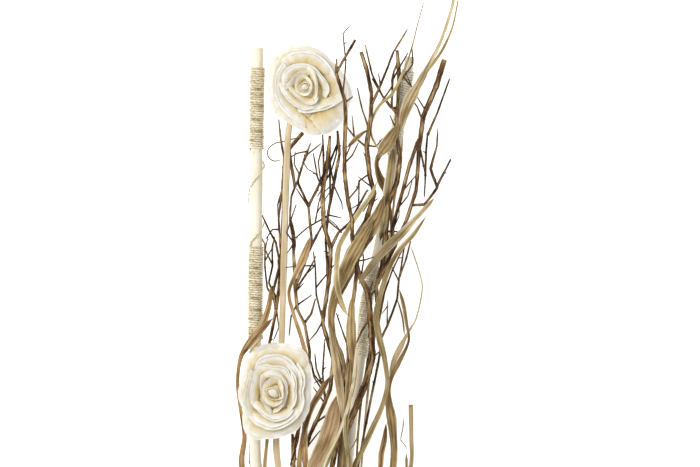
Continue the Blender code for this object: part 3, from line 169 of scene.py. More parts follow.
# Leaf blades: height, slot (or None where the blade ends inside the bunch), colour slot, roll
# (degrees) at both ends, course from the tip down: (x, y, width).
LEAVES = {
    "leaf_tall": (13, (17.2, 9.9), "leaf_tan", (12, -8), [
        (158, 641, 1.2), (160, 606, 2.6), (156, 571, 4), (145, 535, 6), (134, 512, 7.5), (122, 490, 9),
        (111, 469, 9.5), (106, 450, 6.5), (104, 425, 6), (101, 398, 6), (98, 368, 6), (94, 338, 6),
        (89, 305, 6), (84, 272, 6), (79, 240, 6), (75, 205, 6), (71, 165, 5.5), (68, 127, 5)]),
    "leaf_tall_thin": (24, None, "leaf_tan", (20, 0), [
        (161, 575, 1.2), (155, 546, 2), (146, 525, 2.6), (136, 510, 3), (125, 496, 3), (119.5, 482, 2.6),
        (115.5, 469, 2)]),
    "leaf_hook": (43, None, "leaf_pale", (-15, 25), [
        (128, 571, 1), (122, 550, 1.2), (116, 526, 1.6), (109, 505, 2.6), (97, 481, 3.2), (85, 470, 3.4),
        (78, 456, 3.2), (77, 443, 3), (84, 428, 2.6)]),
    "leaf_folded": (20, (17.2, 11.3), "leaf_tan", (-18, 10), [
        (101, 449, 3), (95, 438, 8), (88, 428, 7), (82.5, 417, 4.5), (84, 406, 6), (90, 391, 10),
        (95, 372, 9), (97, 350, 8), (95, 325, 8), (90, 300, 7.5), (84, 275, 7), (77, 250, 7),
        (73, 220, 6.5), (68, 190, 6), (65, 160, 5.5), (63, 127, 5)]),
    "leaf_curl": (57, None, "leaf_pale", (20, -10), [
        (83, 398, 1.6), (77, 385, 3.6), (66, 369, 4.6), (55, 352, 5), (46.5, 335, 5), (44, 315, 4.6),
        (43.5, 298, 4.4), (47, 284, 4), (54, 271, 2.4)]),
    "leaf_broad": (66, (8.2, 19.8), "leaf_tan", (10, -14), [
        (89, 384, 3), (84, 367, 9), (76, 353, 12), (68, 341, 13), (60, 328, 13), (53, 310, 12),
        (46, 295, 10), (41, 281, 7.6), (39, 266, 6.4), (42, 247, 5.6), (48, 234, 5.4), (51, 218, 5.6),
        (51, 195, 5.6), (50, 160, 5.4), (47, 127, 5)]),
    "leaf_crossing": (64, None, "leaf_khaki", (-12, 12), [
        (137, 382, 2), (130, 374, 4), (116, 359, 5), (104, 346, 5.6), (90, 333, 5.2), (77, 317, 4.4),
        (65, 300, 2.4)]),
    "leaf_right": (50, (8.2, 16.8), "leaf_khaki", (8, 16), [
        (129, 364, 1.6), (117, 347, 4), (102, 330, 4.2), (93, 312, 4.4), (86, 290, 4.8), (82, 270, 6),
        (85, 248, 6.2), (90, 228, 5), (92.5, 205, 4), (87, 182, 4.6), (78, 162, 5), (69, 142, 5),
        (61, 125, 5)]),
    "leaf_far_right": (36, (13.4, 22.0), "leaf_tan", (-10, 12), [
        (104, 295, 1.6), (108, 280, 3.6), (111, 262, 3.2), (113, 246, 2.4), (103, 224, 4.4), (96, 210, 4),
        (93, 195, 5), (96, 175, 6.5), (98, 158, 6), (99, 138, 5), (97, 120, 5)]),
    "leaf_wisp": (27, None, "leaf_khaki", (10, -10), [
        (115, 336, 1), (123, 312, 1.1), (126, 296, 1.2), (120, 267, 1.6), (112, 253, 2.6), (105, 240, 5.4),
        (99, 227, 5), (95, 212, 3)]),
    "leaf_centre": (62, (0.9, 20.3), "leaf_khaki", (14, -12), [
        (20, 346, 2), (16, 334, 5), (12, 323, 6), (5, 309, 4), (-1, 292, 3.2), (4, 270, 3.4), (12, 245, 4),
        (17, 220, 5), (16, 190, 5), (14, 160, 5), (15, 127, 5)]),
    "leaf_left": (56, (-14.4, 21.5), "leaf_tan", (-14, 10), [
        (-18, 298, 2), (-20, 280, 4), (-27, 260, 5), (-38, 246, 4.6), (-47, 230, 3.8), (-50, 205, 3.4),
        (-47, 180, 3.4), (-43.5, 155, 4.6), (-46, 128, 5.6)]),
    "leaf_left_short": (72, None, "leaf_pale", (12, -10), [
        (-16, 268, 1.8), (-24, 260, 4.4), (-35, 247, 4.2), (-45, 233, 2)]),
    "leaf_inner": (56, (8.2, 18.3), "leaf_pale", (10, 8), [
        (61, 291, 1.6), (57.5, 272, 5), (57, 257, 7), (57, 243, 8), (58, 222, 7), (57, 200, 6),
        (54, 178, 5.4), (52, 150, 5), (53, 127, 5)]),
    "leaf_slant": (50, (-4.7, 23.3), "leaf_khaki", (-12, 10), [
        (38, 211, 2), (32, 203, 4.6), (27, 194, 6), (20, 181, 5), (15, 165, 4.4), (11, 147, 4.6),
        (8.5, 127, 5)]),
    "leaf_low_broad": (77, (0.5, 21.8), "leaf_pink", (-8, 6), [
        (48, 198, 3), (42, 181, 9), (39, 166, 12), (33, 148, 12), (27, 136, 11), (22, 125, 9)]),
    "leaf_low_green": (86, (0.4, 23.2), "leaf_khaki", (12, -6), [
        (47, 158, 2), (41, 146, 5), (36, 135, 6), (32, 125, 6)]),
    "leaf_low_pale": (62, (8.2, 21.3), "leaf_pale", (-16, 12), [
        (49, 228, 1.6), (54, 208, 4), (55, 188, 4.4), (53, 170, 4), (54, 148, 4), (57, 127, 4)]),
    "leaf_hanging": (25, (14.2, 20.5), "leaf_tan", (14, 6), [
        (91.5, 167, 1.8), (90, 152, 5), (87, 138, 5.4), (86, 125, 5)]),
    "leaf_thread": (47, None, "leaf_tan", (0, 0), [
        (10, 440, 1), (-5, 436, 1.2), (-14, 434, 1.2), (-20, 429.5, 1.2), (-21.5, 425, 1.2), (-20, 420, 1.2),
        (-15, 417, 1.2), (-7, 418.5, 1)]),
}
BUNDLED_WIDTHS = [5.0, 4.8, 4.6, 4.4, 4.4, 4.6]     # a blade's widths below the fan, down to its end
ROLL_SWING, ROLL_WAVES = 9.0, 5.5                   # degrees a blade rolls to and fro, and how often
ROLL_FADE = 120.0                                   # mm above the fan's start in which the roll sets in

# Finer shoots on the sprays: spray, thickness, rise, course from the root outwards.
FINE_SHOOTS = [
    ("twig_trunk", 3.0, 5, [(74, 447), (64, 439), (54, 430)]),
    ("twig_trunk", 1.4, 3, [(73, 415), (69.5, 426)]),
    ("twig_trunk", 1.4, -4, [(76, 391), (64.5, 402.5)]),
    ("twig_trunk", 1.6, 4, [(68, 306), (70, 322), (69, 332)]),
    ("twig_trunk", 1.8, 6, [(74, 290), (79, 303)]),
    ("twig_trunk", 1.6, -5, [(76, 286), (84, 299)]),
    ("twig_trunk", 1.6, 3, [(78.5, 229), (85, 236)]),
    ("twig_right", 1.3, 4, [(116, 487), (110.5, 500)]),
    ("twig_right", 1.4, 4, [(127, 466), (120, 480)]),
    ("twig_right", 1.3, 5, [(102, 303), (98, 314), (94, 321)]),
    ("twig_right", 1.3, 5, [(91, 261), (92.5, 270), (93, 285)]),
    ("twig_right", 1.2, 3, [(92, 279), (87, 271)]),
    ("twig_right", 1.1, 8, [(98, 352), (103.5, 365), (104, 379)]),
    ("twig_right", 1.3, 5, [(103, 372), (112, 384), (116, 398)]),
    ("twig_right", 3.2, 0, [(128.5, 403), (129.5, 425), (131, 443)]),
    ("twig_left", 1.4, 6, [(-13, 277), (-11, 259), (-16, 246)]),
    ("twig_left", 1.2, 5, [(-8, 391), (-2, 402), (-1, 412)]),
    ("twig_left", 1.9, 2, [(-9, 300), (-7.5, 322), (-8.5, 345), (-7.5, 372), (-7, 396)]),
    ("twig_left", 1.4, 4, [(-17, 318), (-24, 333), (-21, 346)]),
    ("twig_left", 1.6, 5, [(-12.5, 283), (-9, 297), (-11, 312), (-12, 324)]),
    ("twig_mid", 1.5, 6, [(22, 361), (27, 376), (31, 392)]),
    ("twig_mid", 1.4, 8, [(26, 368), (33, 380), (38, 388)]),
    ("twig_mid_left", 1.8, 7, [(7, 295), (15, 309), (23, 323)]),
    ("twig_mid_left", 1.3, 5, [(-3, 330), (5, 337), (4, 350), (1, 362)]),
    ("twig_mid_left", 1.4, 2, [(15, 427), (7, 424.5), (1, 421)]),
    ("twig_mid_left", 1.4, 6, [(6, 281), (1, 269), (-1, 250)]),
    ("twig_mid_left", 1.2, 4, [(4, 341), (2, 355), (1, 364)]),
    ("twig_mid_left", 1.2, 4, [(4, 338), (-3, 329)]),
    ("twig_mid_left", 1.2, 3, [(7, 293), (13, 301)]),
    ("twig_mid_left", 4.0, 3, [(3.5, 132), (3, 145), (2, 157)]),
    ("twig_mid_left", 1.2, 6, [(9, 404), (4, 414), (5, 427)]),
    ("twig_right", 2.0, -3, [(103, 512), (99, 503), (97, 494), (98, 482), (96, 473)]),
    ("twig_right", 1.9, -2, [(102, 468), (96, 468), (90, 476), (84, 486), (78, 496)]),
    ("twig_mid", 2.2, 4, [(25, 432), (27, 416), (29, 400), (31, 392)]),
    ("twig_mid", 1.6, 7, [(47, 441), (44, 424), (40, 410), (33, 396), (26, 383)]),
    ("twig_mid", 1.5, 6, [(28, 384), (36, 391), (44, 399)]),
    ("twig_mid", 1.5, 7, [(52, 348), (44, 356), (37, 362)]),
    ("twig_mid", 1.4, 5, [(35, 366), (49, 363)]),
    ("twig_mid", 1.6, 5, [(38, 415), (42, 393), (49, 378), (50, 371)]),
    ("twig_mid", 1.4, -5, [(24, 318), (14, 308), (7, 295)]),
    ("twig_mid", 1.2, 3, [(38, 329), (31, 332)]),
    ("twig_mid", 1.6, 6, [(30, 200), (25, 220), (23.5, 235)]),
    ("twig_mid", 1.4, 7, [(28, 196), (22.5, 212), (20, 226)]),
    ("twig_mid", 1.2, 3, [(32, 211), (23, 206)]),
    ("twig_mid", 1.5, 5, [(14, 142), (20, 150), (29, 161)]),
    ("twig_mid", 1.3, 4, [(30, 188), (22, 202)]),
    ("twig_mid", 1.5, 6, [(31, 395), (24, 405), (17, 409), (12, 417)]),
    ("twig_front", 1.8, 5, [(56, 238), (51, 252), (44, 273)]),
    ("twig_front", 1.3, 5, [(60, 330), (55, 318), (50, 322)]),
]

# Thinner blades and threads between the stems or, without a height, laid on top of them:
# height, colour slot, finish, roll (degrees), course from the tip down.
FINE_BLADES = [
    (38, "leaf_tan", "leaf_tan", 12, [(102, 286, 1.2), (107, 268, 1.8), (109, 251, 1.4)]),
    (74, "leaf_pale", "leaf_pale", -14, [(-25, 251, 1.0), (-33, 242, 2.0), (-41, 233, 1.0)]),
    (None, "leaf_pale", "cream", 10, [(52, 226, 1.0), (50, 210, 2.2), (49, 195, 2.4), (48, 178, 1.0)]),
    (None, "leaf_tan", "leaf_tan", 8, [
        (60, 291, 1.5), (58.5, 278, 6), (58, 262, 9), (58.5, 248, 9), (60, 232, 8), (60, 215, 7),
        (58.5, 200, 5), (57, 188, 2)]),
    (None, "leaf_tan", "straw", -8, [
        (38, 262, 2), (40, 245, 5), (43, 230, 7), (45, 216, 8), (47, 203, 8), (48.5, 190, 6.5), (50, 176, 3),
        (51, 168, 1.2)]),
    (None, "leaf_tan", "leaf_tan", 12, [(57, 230, 1.4), (55.5, 212, 4), (54, 192, 4), (53, 172, 1.6)]),
    (None, "leaf_pink", "leaf_pink", -10, [(42, 256, 1), (45, 243, 3), (49, 230, 3), (51, 219, 1.2)]),
    (None, "leaf_pale", "cream", 10, [
        (63, 243, 1.2), (62, 226, 2.4), (60, 208, 2.8), (56.5, 190, 2.8), (52, 174, 2.6), (47, 160, 2.4),
        (41, 147, 2.2), (34, 132, 2.0), (28, 112, 1.5)]),
    (None, "leaf_pale", "cream", -8, [
        (53, 178, 1), (51.5, 165, 2.4), (52.5, 150, 2.6), (54.5, 136, 2.4), (55, 118, 1.6)]),
    (None, "leaf_tan", "straw", 6, [
        (130, 506, 1.2), (125, 496, 5.5), (118.5, 484, 9.5), (112, 471, 10.5), (107.5, 458, 7.5),
        (104.5, 447, 3), (103.5, 441, 1)]),
    (None, "leaf_tan", "caramel", 10, [
        (73.5, 447, 1.0), (68.5, 443, 3), (63.7, 439, 4.4), (59, 434, 4), (54.5, 429.5, 1.4)]),
    (None, "leaf_tan", "leaf_tan", -12, [
        (104, 453, 1.5), (99, 445, 8), (94, 436, 12.5), (89, 429, 11), (84, 422.5, 4), (81, 420, 1)]),
    (None, "leaf_tan", "leaf_tan", 6, [
        (79, 362, 2), (72, 350, 9), (64.5, 337, 12.5), (58, 325, 13), (52, 311, 11), (47, 298, 7.5),
        (43, 286, 2)]),
    (None, "leaf_pale", "leaf_pale", 8, [
        (46.5, 335, 2), (44.5, 318, 4.6), (44.5, 303, 5), (47, 290, 4.6), (51, 279, 3.4), (55, 270, 1)]),
    (None, "leaf_tan", "caramel", 0, [
        (64, 160, 0.9), (63.5, 153, 1), (60, 146, 1), (55, 141, 1), (49, 136, 0.9)]),
    (None, "leaf_khaki", "caramel", -12, [
        (38.5, 213, 1.5), (33.5, 205, 4.6), (27.5, 195.5, 6.2), (21, 184, 5.6), (16, 170, 4.6), (12, 155, 4),
        (9, 141, 1.5)]),
    (None, "leaf_khaki", "leaf_khaki", 6, [
        (92, 376, 1.5), (90.5, 366, 5), (88.5, 355, 6), (86.5, 346, 4), (85.5, 341, 1)]),
    (31, "leaf_khaki", "leaf_khaki", 8, [
        (98, 430, 3), (97, 418, 6.5), (95, 402, 7), (93, 388, 6.5), (90, 372, 4), (88, 362, 1.5)]),
    (30, "leaf_tan", "leaf_tan", 0, [
        (108, 172, 1.3), (107.5, 163, 0.9), (105.5, 151, 0.8), (109, 147, 0.8), (112, 141, 0.8)]),
    (30, "leaf_tan", "leaf_tan", 0, [(110.6, 139, 1.6), (110.8, 132, 2.6), (110.8, 118, 2.4)]),
]

# Fuller or slimmer than the rest, at these sheet heights: (y, factor). A spray's stems are
# numbered: 0 is the main one, then come its side shoots and its finer shoots.
GIRTH = {
    "leaf_tall": [(380, 0.4), (405, 1.0), (469, 0.95), (490, 0.8), (512, 0.58), (540, 0.52), (571, 0.75)],
    "leaf_crossing": [(300, 1.3), (320, 1.55), (346, 1.55), (362, 1.0)],
    "leaf_centre": [(300, 1.0), (325, 1.25)],
    "leaf_hook": [(460, 0.75), (480, 0.9)],
    "leaf_low_broad": [(150, 1.3)],
    "leaf_folded": [(385, 0.4), (397, 1.0)],
    "leaf_far_right": [(205, 1.0), (175, 1.35)],
    "leaf_left": [(220, 1.0), (240, 1.3)],
    "leaf_left_short": [(230, 1.3)],
    "twig_front 0": [(127, 1.15)],
    "twig_front 1": [(500, 1.2), (531, 1.9)],
    "twig_trunk 0": [(262, 1.2), (340, 1.1), (430, 1.35), (480, 1.1), (521, 1.5)],
    "twig_mid 0": [(284, 1.15), (334, 1.25), (441, 1.4)],
    "twig_mid 3": [(340, 1.2), (400, 1.8), (446, 1.6)],
    "twig_mid 4": [(378, 1.2), (436, 1.7)],
    "twig_mid_left 2": [(392, 1.0), (425, 1.4), (444, 2.2)],
    "twig_mid_left 4": [(374, 1.7), (410, 1.9)],
    "twig_mid_left 6": [(333, 1.6)],
    "leaf_broad": [(250, 1.0), (290, 1.15), (384, 1.15)],
    "twig_right 0": [(262, 0.6), (300, 1.1), (345, 1.5), (400, 1.3), (440, 1.0), (480, 1.0), (523, 1.5)],
    "twig_left 0": [(320, 1.0), (345, 0.7)],
    "twig_mid_left 0": [(325, 1.0), (345, 0.65), (410, 0.7), (434, 1.0)],
    "twig_right 5": [(300, 1.0), (390, 1.2), (430, 1.5), (480, 2.2), (514, 2.4)],
    "twig_right 6": [(333, 1.2), (440, 2.1)],
    "twig_right 9": [(463, 1.5)],
    "twig_right 10": [(375, 1.2), (410, 1.7), (449, 0.8)],
    "twig_right 11": [(393, 1.7)],
    "twig_right 26": [(403, 1.5), (443, 2.3)],
}
# Stems whose tip is cut square, where the others taper.
SAWN_TWIGS = {"twig_front 1", "twig_trunk 0", "twig_right 0", "twig_right 5", "twig_right 9",
              "twig_right 11", "twig_mid 0", "twig_mid 3", "twig_mid_left 2", "twig_left 0"}
# Shoots drawn shorter than in the CAD: spray, number, share of the length kept.
SHORT_SHOOTS = [("twig_left", 4, 0.86), ("twig_right", 16, 0.25)]
# The shoot that is redrawn straight: spray, number, its new foot.
STRAIGHT_SHOOT = ("twig_right", 9, (131, 442))

# Rigid stems: radius or half width, slot in the tie, heights at the fan's knee and at the tip,
# course from the tip down.
RIGID = {
    "peeled_stick_left": (STICK_LEFT_R, (-14.0, 15.0), (39, 41.5), [
        (-30.5, 525), (-31, 500), (-32, 450), (-31.6, 400), (-32, 350), (-33, 300), (-33, 240),
        (-33, 180), (-32.5, 128)]),
    "peeled_stick_right": (STICK_RIGHT_R, (9.4, 9.8), (21, 24), [
        (114, 517), (112, 500), (104.5, 460), (99, 428), (91.5, 378), (85, 340), (78, 306), (71.5, 275),
        (69, 240), (65, 212), (60.5, 180), (57, 145)]),
    "cane_rose_top": (3.0, (-4.7, 20.6), (43, 51.9), [
        (6, 475), (-1, 448), (-3.5, 400), (-5.5, 330), (-8, 250), (-11, 190), (-13, 140)]),
    "stem_rose_bottom": (1.75, (-9.8, 21.5), (48.4, 48.4), [(-17, 196), (-22, 150), (-24, 120)]),
    "cane_right": (2.1, (15.4, 18.3), (34, 34), [(115, 185), (115.5, 155), (115, 126)]),
}
KNEE_Y = 200.0             # sheet height of the fan's knee, where the slope of these stems changes

# Roses: heart on the sheet, height of the foot, outline.
ROSES = {
    "rose_top": ((14.5, 487), 54.0, [
        (-21.5, 500), (-21.5, 485), (-20, 470), (-14, 459), (-4, 449), (9, 445), (22, 438), (36, 441),
        (49, 450), (58, 465), (60, 479), (57, 490), (50, 500), (40, 511), (28, 521), (18, 526), (8, 527),
        (0, 525), (-12, 519), (-20, 508)]),
    "rose_bottom": ((-15, 197), 50.0, [
        (-8, 246), (6, 242), (15, 235), (20, 217), (21, 200), (20, 188), (15, 174), (8, 162), (-3, 152),
        (-20, 150), (-35, 152), (-43, 160), (-46, 178), (-49, 200), (-48, 218), (-42, 233), (-30, 243)]),
}
ROSE_ROOM = 1.12           # the outline is kept clear a little beyond the rose
SPRIG_LIFT = 19.0          # the front twig passes over a rose at least this far above its foot

# Twine bands: stick, sheet heights of the two ends.
WRAPS = {
    "twine_left_upper": ("peeled_stick_left", 427, 507),
    "twine_left_lower": ("peeled_stick_left", 246, 337),
    "twine_right_upper": ("peeled_stick_right", 422, 505),
    "twine_right_lower": ("peeled_stick_right", 229, 318),
}
# Loose twine ends: sheet y, angle round the stick (0 right, 90 front), distance off its skin.
TAILS = {
    "twine_left_upper": [(430, 180, 0.8), (426, 225, 1.3), (422, 270, 1.3), (417, 315, 1.3), (413, 0, 1.3),
                         (408, 45, 1.3), (402, 90, 1.3), (396, 130, 1.4), (389, 165, 1.6), (376, 178, 2.0)],
    "twine_left_lower": [(334, 150, 0.8), (340, 135, 1.3), (345, 100, 1.3), (350, 65, 1.3), (355, 30, 1.3),
                         (359, 5, 1.6)],
}


def smooth(t):
    """A soft step from 0 to 1."""
    t = min(1.0, max(0.0, t))
    return t * t * (3 - 2 * t)


def bundle_tail(slot, last):
    """Course points from the lowest seen point down through the tie to the cut end."""
    sx, sz = slot
    x0, y0 = last
    out = []
    for y in BUNDLE_STEPS:
        t = (y0 - y) / (y0 - FAN_LOW)
        f = 0.5 * t + 0.5 * smooth(t)
        out.append((x0 + (TIE_X + sx - x0) * f, y))
    out.append((TIE_X + sx, FAN_LOW))
    out.append((TIE_X + sx, FAN_LOW - STRAIGHT_RUN))
    end = CUT_LOW + CUT_VARIES * math.sin(sx * 1.7 + sz * 0.9)
    out.append((TIE_X + sx * END_FLARE, end))
    return out


def rest_height(slot, head, y):
    """Height a stem wants at sheet y, before neighbours push on it."""
    if slot is None:
        return head
    z = slot[1]
    if y < FLARE_Y:
        return TIE_CENTRE_Z + (z - TIE_CENTRE_Z) * END_FLARE
    return z + (head - z) * min(1.0, max(0.0, (y - FAN_LOW) / (FAN_HIGH - FAN_LOW)))


class Chain:
    """One stem, blade or shoot: a run of vertices with fixed x and y and a height to be found."""

    def __init__(self, group, kind, pts, z, half, depth, hold=1.0):
        self.group, self.kind = group, kind
        self.xy = np.array(pts, float)
        self.z = np.array(z, float)
        self.half = np.array(half, float)      # half width along the sheet
        self.depth = np.array(depth, float)    # half thickness up and down
        self.hold = np.full(len(pts), float(hold))    # 1 free to move, 0 pinned
        self.roll = np.zeros(len(pts))
        self.root = None                       # (parent chain, segment, fraction)
        self.start = 0                         # number of its first vertex among all


def nearest_on(chains, p):
    """The closest place on the chains already grown."""
    best = None
    for chain in chains:
        for k in range(len(chain.xy) - 1):
            a, b = chain.xy[k], chain.xy[k + 1]
            d = b - a
            f = float(np.clip(np.dot(p - a, d) / np.dot(d, d), 0, 1))
            gap = float(np.hypot(*(a + d * f - p)))
            if best is None or gap < best[0]:
                best = (gap, chain, k, f)
    return best[1:]


GROWTH_SEED, FINE_SEED = 41, 9
THINNEST = 0.42            # least radius of a shoot
SHOOT_TAPER = 0.35         # share of its radius that a shoot loses up to its tip


def sprout(name, group, thick, rise, pts, rng):
    """A side shoot that starts on the nearest stem of its spray."""
    parent, seg, f = nearest_on(group, np.array(pts[0], float))
    foot = parent.xy[seg] * (1 - f) + parent.xy[seg + 1] * f
    zf = parent.z[seg] * (1 - f) + parent.z[seg + 1] * f
    run = [tuple(foot)] + [p[:2] for p in pts[1:]]
    n = len(run)
    zs = [zf + rise * k / (n - 1) + (rng.uniform(-2, 2) if k else 0) for k in range(n)]
    host = parent.half[seg] * (1 - f) + parent.half[seg + 1] * f
    root_r = min(thick / 2, 0.93 * host)
    rs = [max(THINNEST, root_r * (1 - SHOOT_TAPER * k / (n - 1))) for k in range(n)]
    shoot = Chain(name, "twig", run, zs, rs, rs)
    shoot.root = (parent, seg, f)
    return shoot


def rigid_chains():
    """Sticks, cane and strips: they keep their place, and the others make way for them."""
    chains = []
    for name, (half, slot, (fan_z, tip_z), pts) in RIGID.items():
        course = with_wrap_ends(name, pts) + bundle_tail(slot, pts[-1])
        top, z = pts[0][1], []
        for _, y in course:
            if y >= KNEE_Y:
                z.append(fan_z + (tip_z - fan_z) * (y - KNEE_Y) / max(1.0, top - KNEE_Y))
            elif y > FAN_LOW:
                z.append(slot[1] + (fan_z - slot[1]) * (y - FAN_LOW) / (KNEE_Y - FAN_LOW))
            else:
                z.append(rest_height(slot, fan_z, y))
        stick = name.startswith("peeled")
        n = len(course)
        depth = [half if stick else strip_half_depth(half)] * n
        chain = Chain(name, "stick" if stick else "cane", course, z, [half] * n, depth, 0.0)
        if stick:
            for k, (_, y) in enumerate(course):
                if any(host == name and low <= y <= high for host, low, high in WRAPS.values()):
                    chain.half[k] += WRAP_CLEAR + TWINE_D
                    chain.depth[k] += WRAP_CLEAR + TWINE_D
        chains.append(chain)
    return chains


def strip_half_depth(half):
    """Half the thickness of a split cane or strip of this half width."""
    return (CANE_T if half > THIN_STRIP else STRIP_T) / 2


def twig_chains():
    """The sprays, each a main stem and its side shoots."""
    rng = random.Random(GROWTH_SEED)
    chains = []
    for name, (head, slot, thick, pts, shoots) in SPRAYS.items():
        course, w, lift = [], [], []
        for p in pts:
            course.append(p[:2])
            w.append(p[2] if len(p) > 2 else thick)
            lift.append((p[3] if len(p) > 3 else 0) + rng.uniform(-3.5, 3.5))
        tail = bundle_tail(slot, course[-1])
        course += tail
        w += [w[-1]] * len(tail)
        lift += [0] * len(tail)
        z = [rest_height(slot, head, y) + lift[k] for k, (_, y) in enumerate(course)]
        r = [v / 2 for v in w]
        main = Chain(name, "twig", course, z, r, r)
        group = [main]
        for thick_s, rise, spts in shoots:
            group.append(sprout(name, group, thick_s, rise, spts, rng))
        chains += group
    return chains


def leaf_chains():
    """The blades, each rolled a little one way and the other along its length."""
    chains = []
    for name, (head, slot, _, (roll_a, roll_b), pts) in LEAVES.items():
        course = [p[:2] for p in pts]
        w = [p[2] for p in pts]
        if slot is not None:
            tail = bundle_tail(slot, course[-1])
            course += tail
            w += BUNDLED_WIDTHS
        z = [rest_height(slot, head, y) for _, y in course]
        n = len(course)
        chain = Chain(name, "leaf", course, z, [v / 2 for v in w], [LEAF_T / 2] * n)
        for k, (_, y) in enumerate(course):
            f = k / (n - 1)
            wave = math.sin(ROLL_WAVES * f + len(name)) * ROLL_SWING
            fade = smooth((y - FAN_LOW) / ROLL_FADE) if slot is not None else 1.0
            chain.roll[k] = math.radians((roll_a * (1 - f) + roll_b * f + wave) * fade)
        chains.append(chain)
    return chains


def grow_chains():
    """All stems of the bouquet in their wished-for places; their ends in the tie are pinned."""
    chains = rigid_chains() + twig_chains() + leaf_chains()
    for chain in chains:
        if chain.root is None:
            chain.hold[chain.xy[:, 1] <= FAN_LOW + 1] = 0.0
    return chains


def with_wrap_ends(stick, pts):
    """The stick's course with extra points just where each twine band starts and stops."""
    cuts = [y for host, low, high in WRAPS.values() if host == stick
            for y in (low - 2, low, high, high + 2)]
    out = [pts[0]]
    for a, b in zip(pts, pts[1:]):
        for y in sorted((c for c in cuts if b[1] < c < a[1]), reverse=True):
            f = (a[1] - y) / (a[1] - b[1])
            out.append((a[0] + (b[0] - a[0]) * f, y))
        out.append(b)
    return out


def fibres(chain):
    """Side-by-side strips that stand for a stem in the clearance sums: (offset factor, share)."""
    if chain.kind == "leaf" or chain.kind == "cane":
        return ((-0.66, 0.34), (0.0, 0.34), (0.66, 0.34))
    return ((0.0, 0.0),)


def side_vectors(xy):
    """Unit vectors across the course, in the sheet."""
    d = np.gradient(xy, axis=0)
    d /= np.maximum(np.hypot(d[:, 0], d[:, 1])[:, None], 1e-9)
    return np.stack([-d[:, 1], d[:, 0]], axis=1)


def along(ends, share):
    """Value part of the way between two ends."""
    return ends[:, 0] * (1 - share) + ends[:, 1] * share


def straight_runs(chains):
    """Every strip cut into its straight runs, with the values at both ends of each."""
    groups = sorted({c.group for c in chains})
    parts = {"at": [], "vertex": [], "rise": [], "half": [], "depth": [], "group": []}
    for c in chains:
        side = side_vectors(c.xy)
        crown = FOLD_ROOM if c.kind == "leaf" and c.half.max() > WIDE_BLADE else SKIN_ROOM
        for shift, share in fibres(c):
            off = c.half * shift
            lines = {"at": c.xy + side * (off * np.cos(c.roll))[:, None],
                     "vertex": c.start + np.arange(len(c.xy)),
                     "rise": off * np.sin(c.roll), "half": c.half * share, "depth": c.depth + crown,
                     "group": np.full(len(c.xy), groups.index(c.group))}
            for key, line in lines.items():
                parts[key].append(np.stack([line[:-1], line[1:]], axis=1))
    return {key: np.concatenate(part) for key, part in parts.items()}


def close_pairs(chains):
    """Every pair of strips from different stems that pass near each other on the sheet."""
    runs = straight_runs(chains)
    a, b = runs["at"][:, 0], runs["at"][:, 1]
    half, depth, vertex, group = runs["half"], runs["depth"], runs["vertex"], runs["group"][:, 0]
    low, high = np.minimum(a, b), np.maximum(a, b)
    reach = (half.max(axis=1) + depth.max(axis=1) + 1.0)[:, None]
    out = []
    for i in range(len(a)):
        near = np.all((low[i] - reach[i] <= high + reach) & (high[i] + reach[i] >= low - reach), axis=1)
        near[:i + 1] = False
        near &= group != group[i]
        js = np.nonzero(near)[0]
        if len(js):
            out.append(np.stack([np.full(len(js), i), js], axis=1))
    pairs = np.concatenate(out)
    i, j = pairs[:, 0], pairs[:, 1]
    s, t, d = sheet_closest(a[i], b[i], a[j], b[j])
    need = along(depth[i], s) + along(depth[j], t) + GAP
    beside = np.maximum(0.0, d - along(half[i], s) - along(half[j], t))
    keep = beside < need
    i, j, s, t, need, beside = (part[keep] for part in (i, j, s, t, need, beside))
    return {"ia": vertex[i, 0], "ib": vertex[i, 1], "ja": vertex[j, 0], "jb": vertex[j, 1], "s": s, "t": t,
            "need": np.sqrt(need ** 2 - beside ** 2), "square": beside < 0.15 * need,
            "rise": along(runs["rise"][i], s) - along(runs["rise"][j], t),
            "li": np.hypot(*(b[i] - a[i]).T), "lj": np.hypot(*(b[j] - a[j]).T)}


def height_apart(z, pairs):
    """How far the first stem of each pair lies above the second where they pass."""
    s, t = pairs["s"], pairs["t"]
    return (z[pairs["ia"]] * (1 - s) + z[pairs["ib"]] * s - z[pairs["ja"]] * (1 - t)
            - z[pairs["jb"]] * t + pairs["rise"])


def sheet_closest(p, q, r, w):
    """Closest places of segments p-q and r-w on the sheet: fractions and distance."""
    d1, d2 = q - p, w - r
    cross = d1[:, 0] * d2[:, 1] - d1[:, 1] * d2[:, 0]
    cross = np.where(np.abs(cross) < 1e-9, 1e-9, cross)
    pr = r - p
    s = (pr[:, 0] * d2[:, 1] - pr[:, 1] * d2[:, 0]) / cross
    t = (pr[:, 0] * d1[:, 1] - pr[:, 1] * d1[:, 0]) / cross
    hit = (s >= 0) & (s <= 1) & (t >= 0) & (t <= 1)
    l1 = np.maximum((d1 ** 2).sum(1), 1e-9)
    l2 = np.maximum((d2 ** 2).sum(1), 1e-9)
    zero, one = np.zeros(len(p)), np.ones(len(p))
    cases = [
        (zero, np.clip(((p - r) * d2).sum(1) / l2, 0, 1)),
        (one, np.clip(((q - r) * d2).sum(1) / l2, 0, 1)),
        (np.clip(((r - p) * d1).sum(1) / l1, 0, 1), zero),
        (np.clip(((w - p) * d1).sum(1) / l1, 0, 1), one),
    ]
    best = np.where(hit, 0.0, np.inf)
    bs, bt = np.clip(s, 0, 1), np.clip(t, 0, 1)
    for cs, ct in cases:
        gap = np.hypot(*((p + d1 * cs[:, None]) - (r + d2 * ct[:, None])).T)
        closer = gap < best
        best = np.where(closer, gap, best)
        bs, bt = np.where(closer, cs, bs), np.where(closer, ct, bt)
    return bs, bt, best


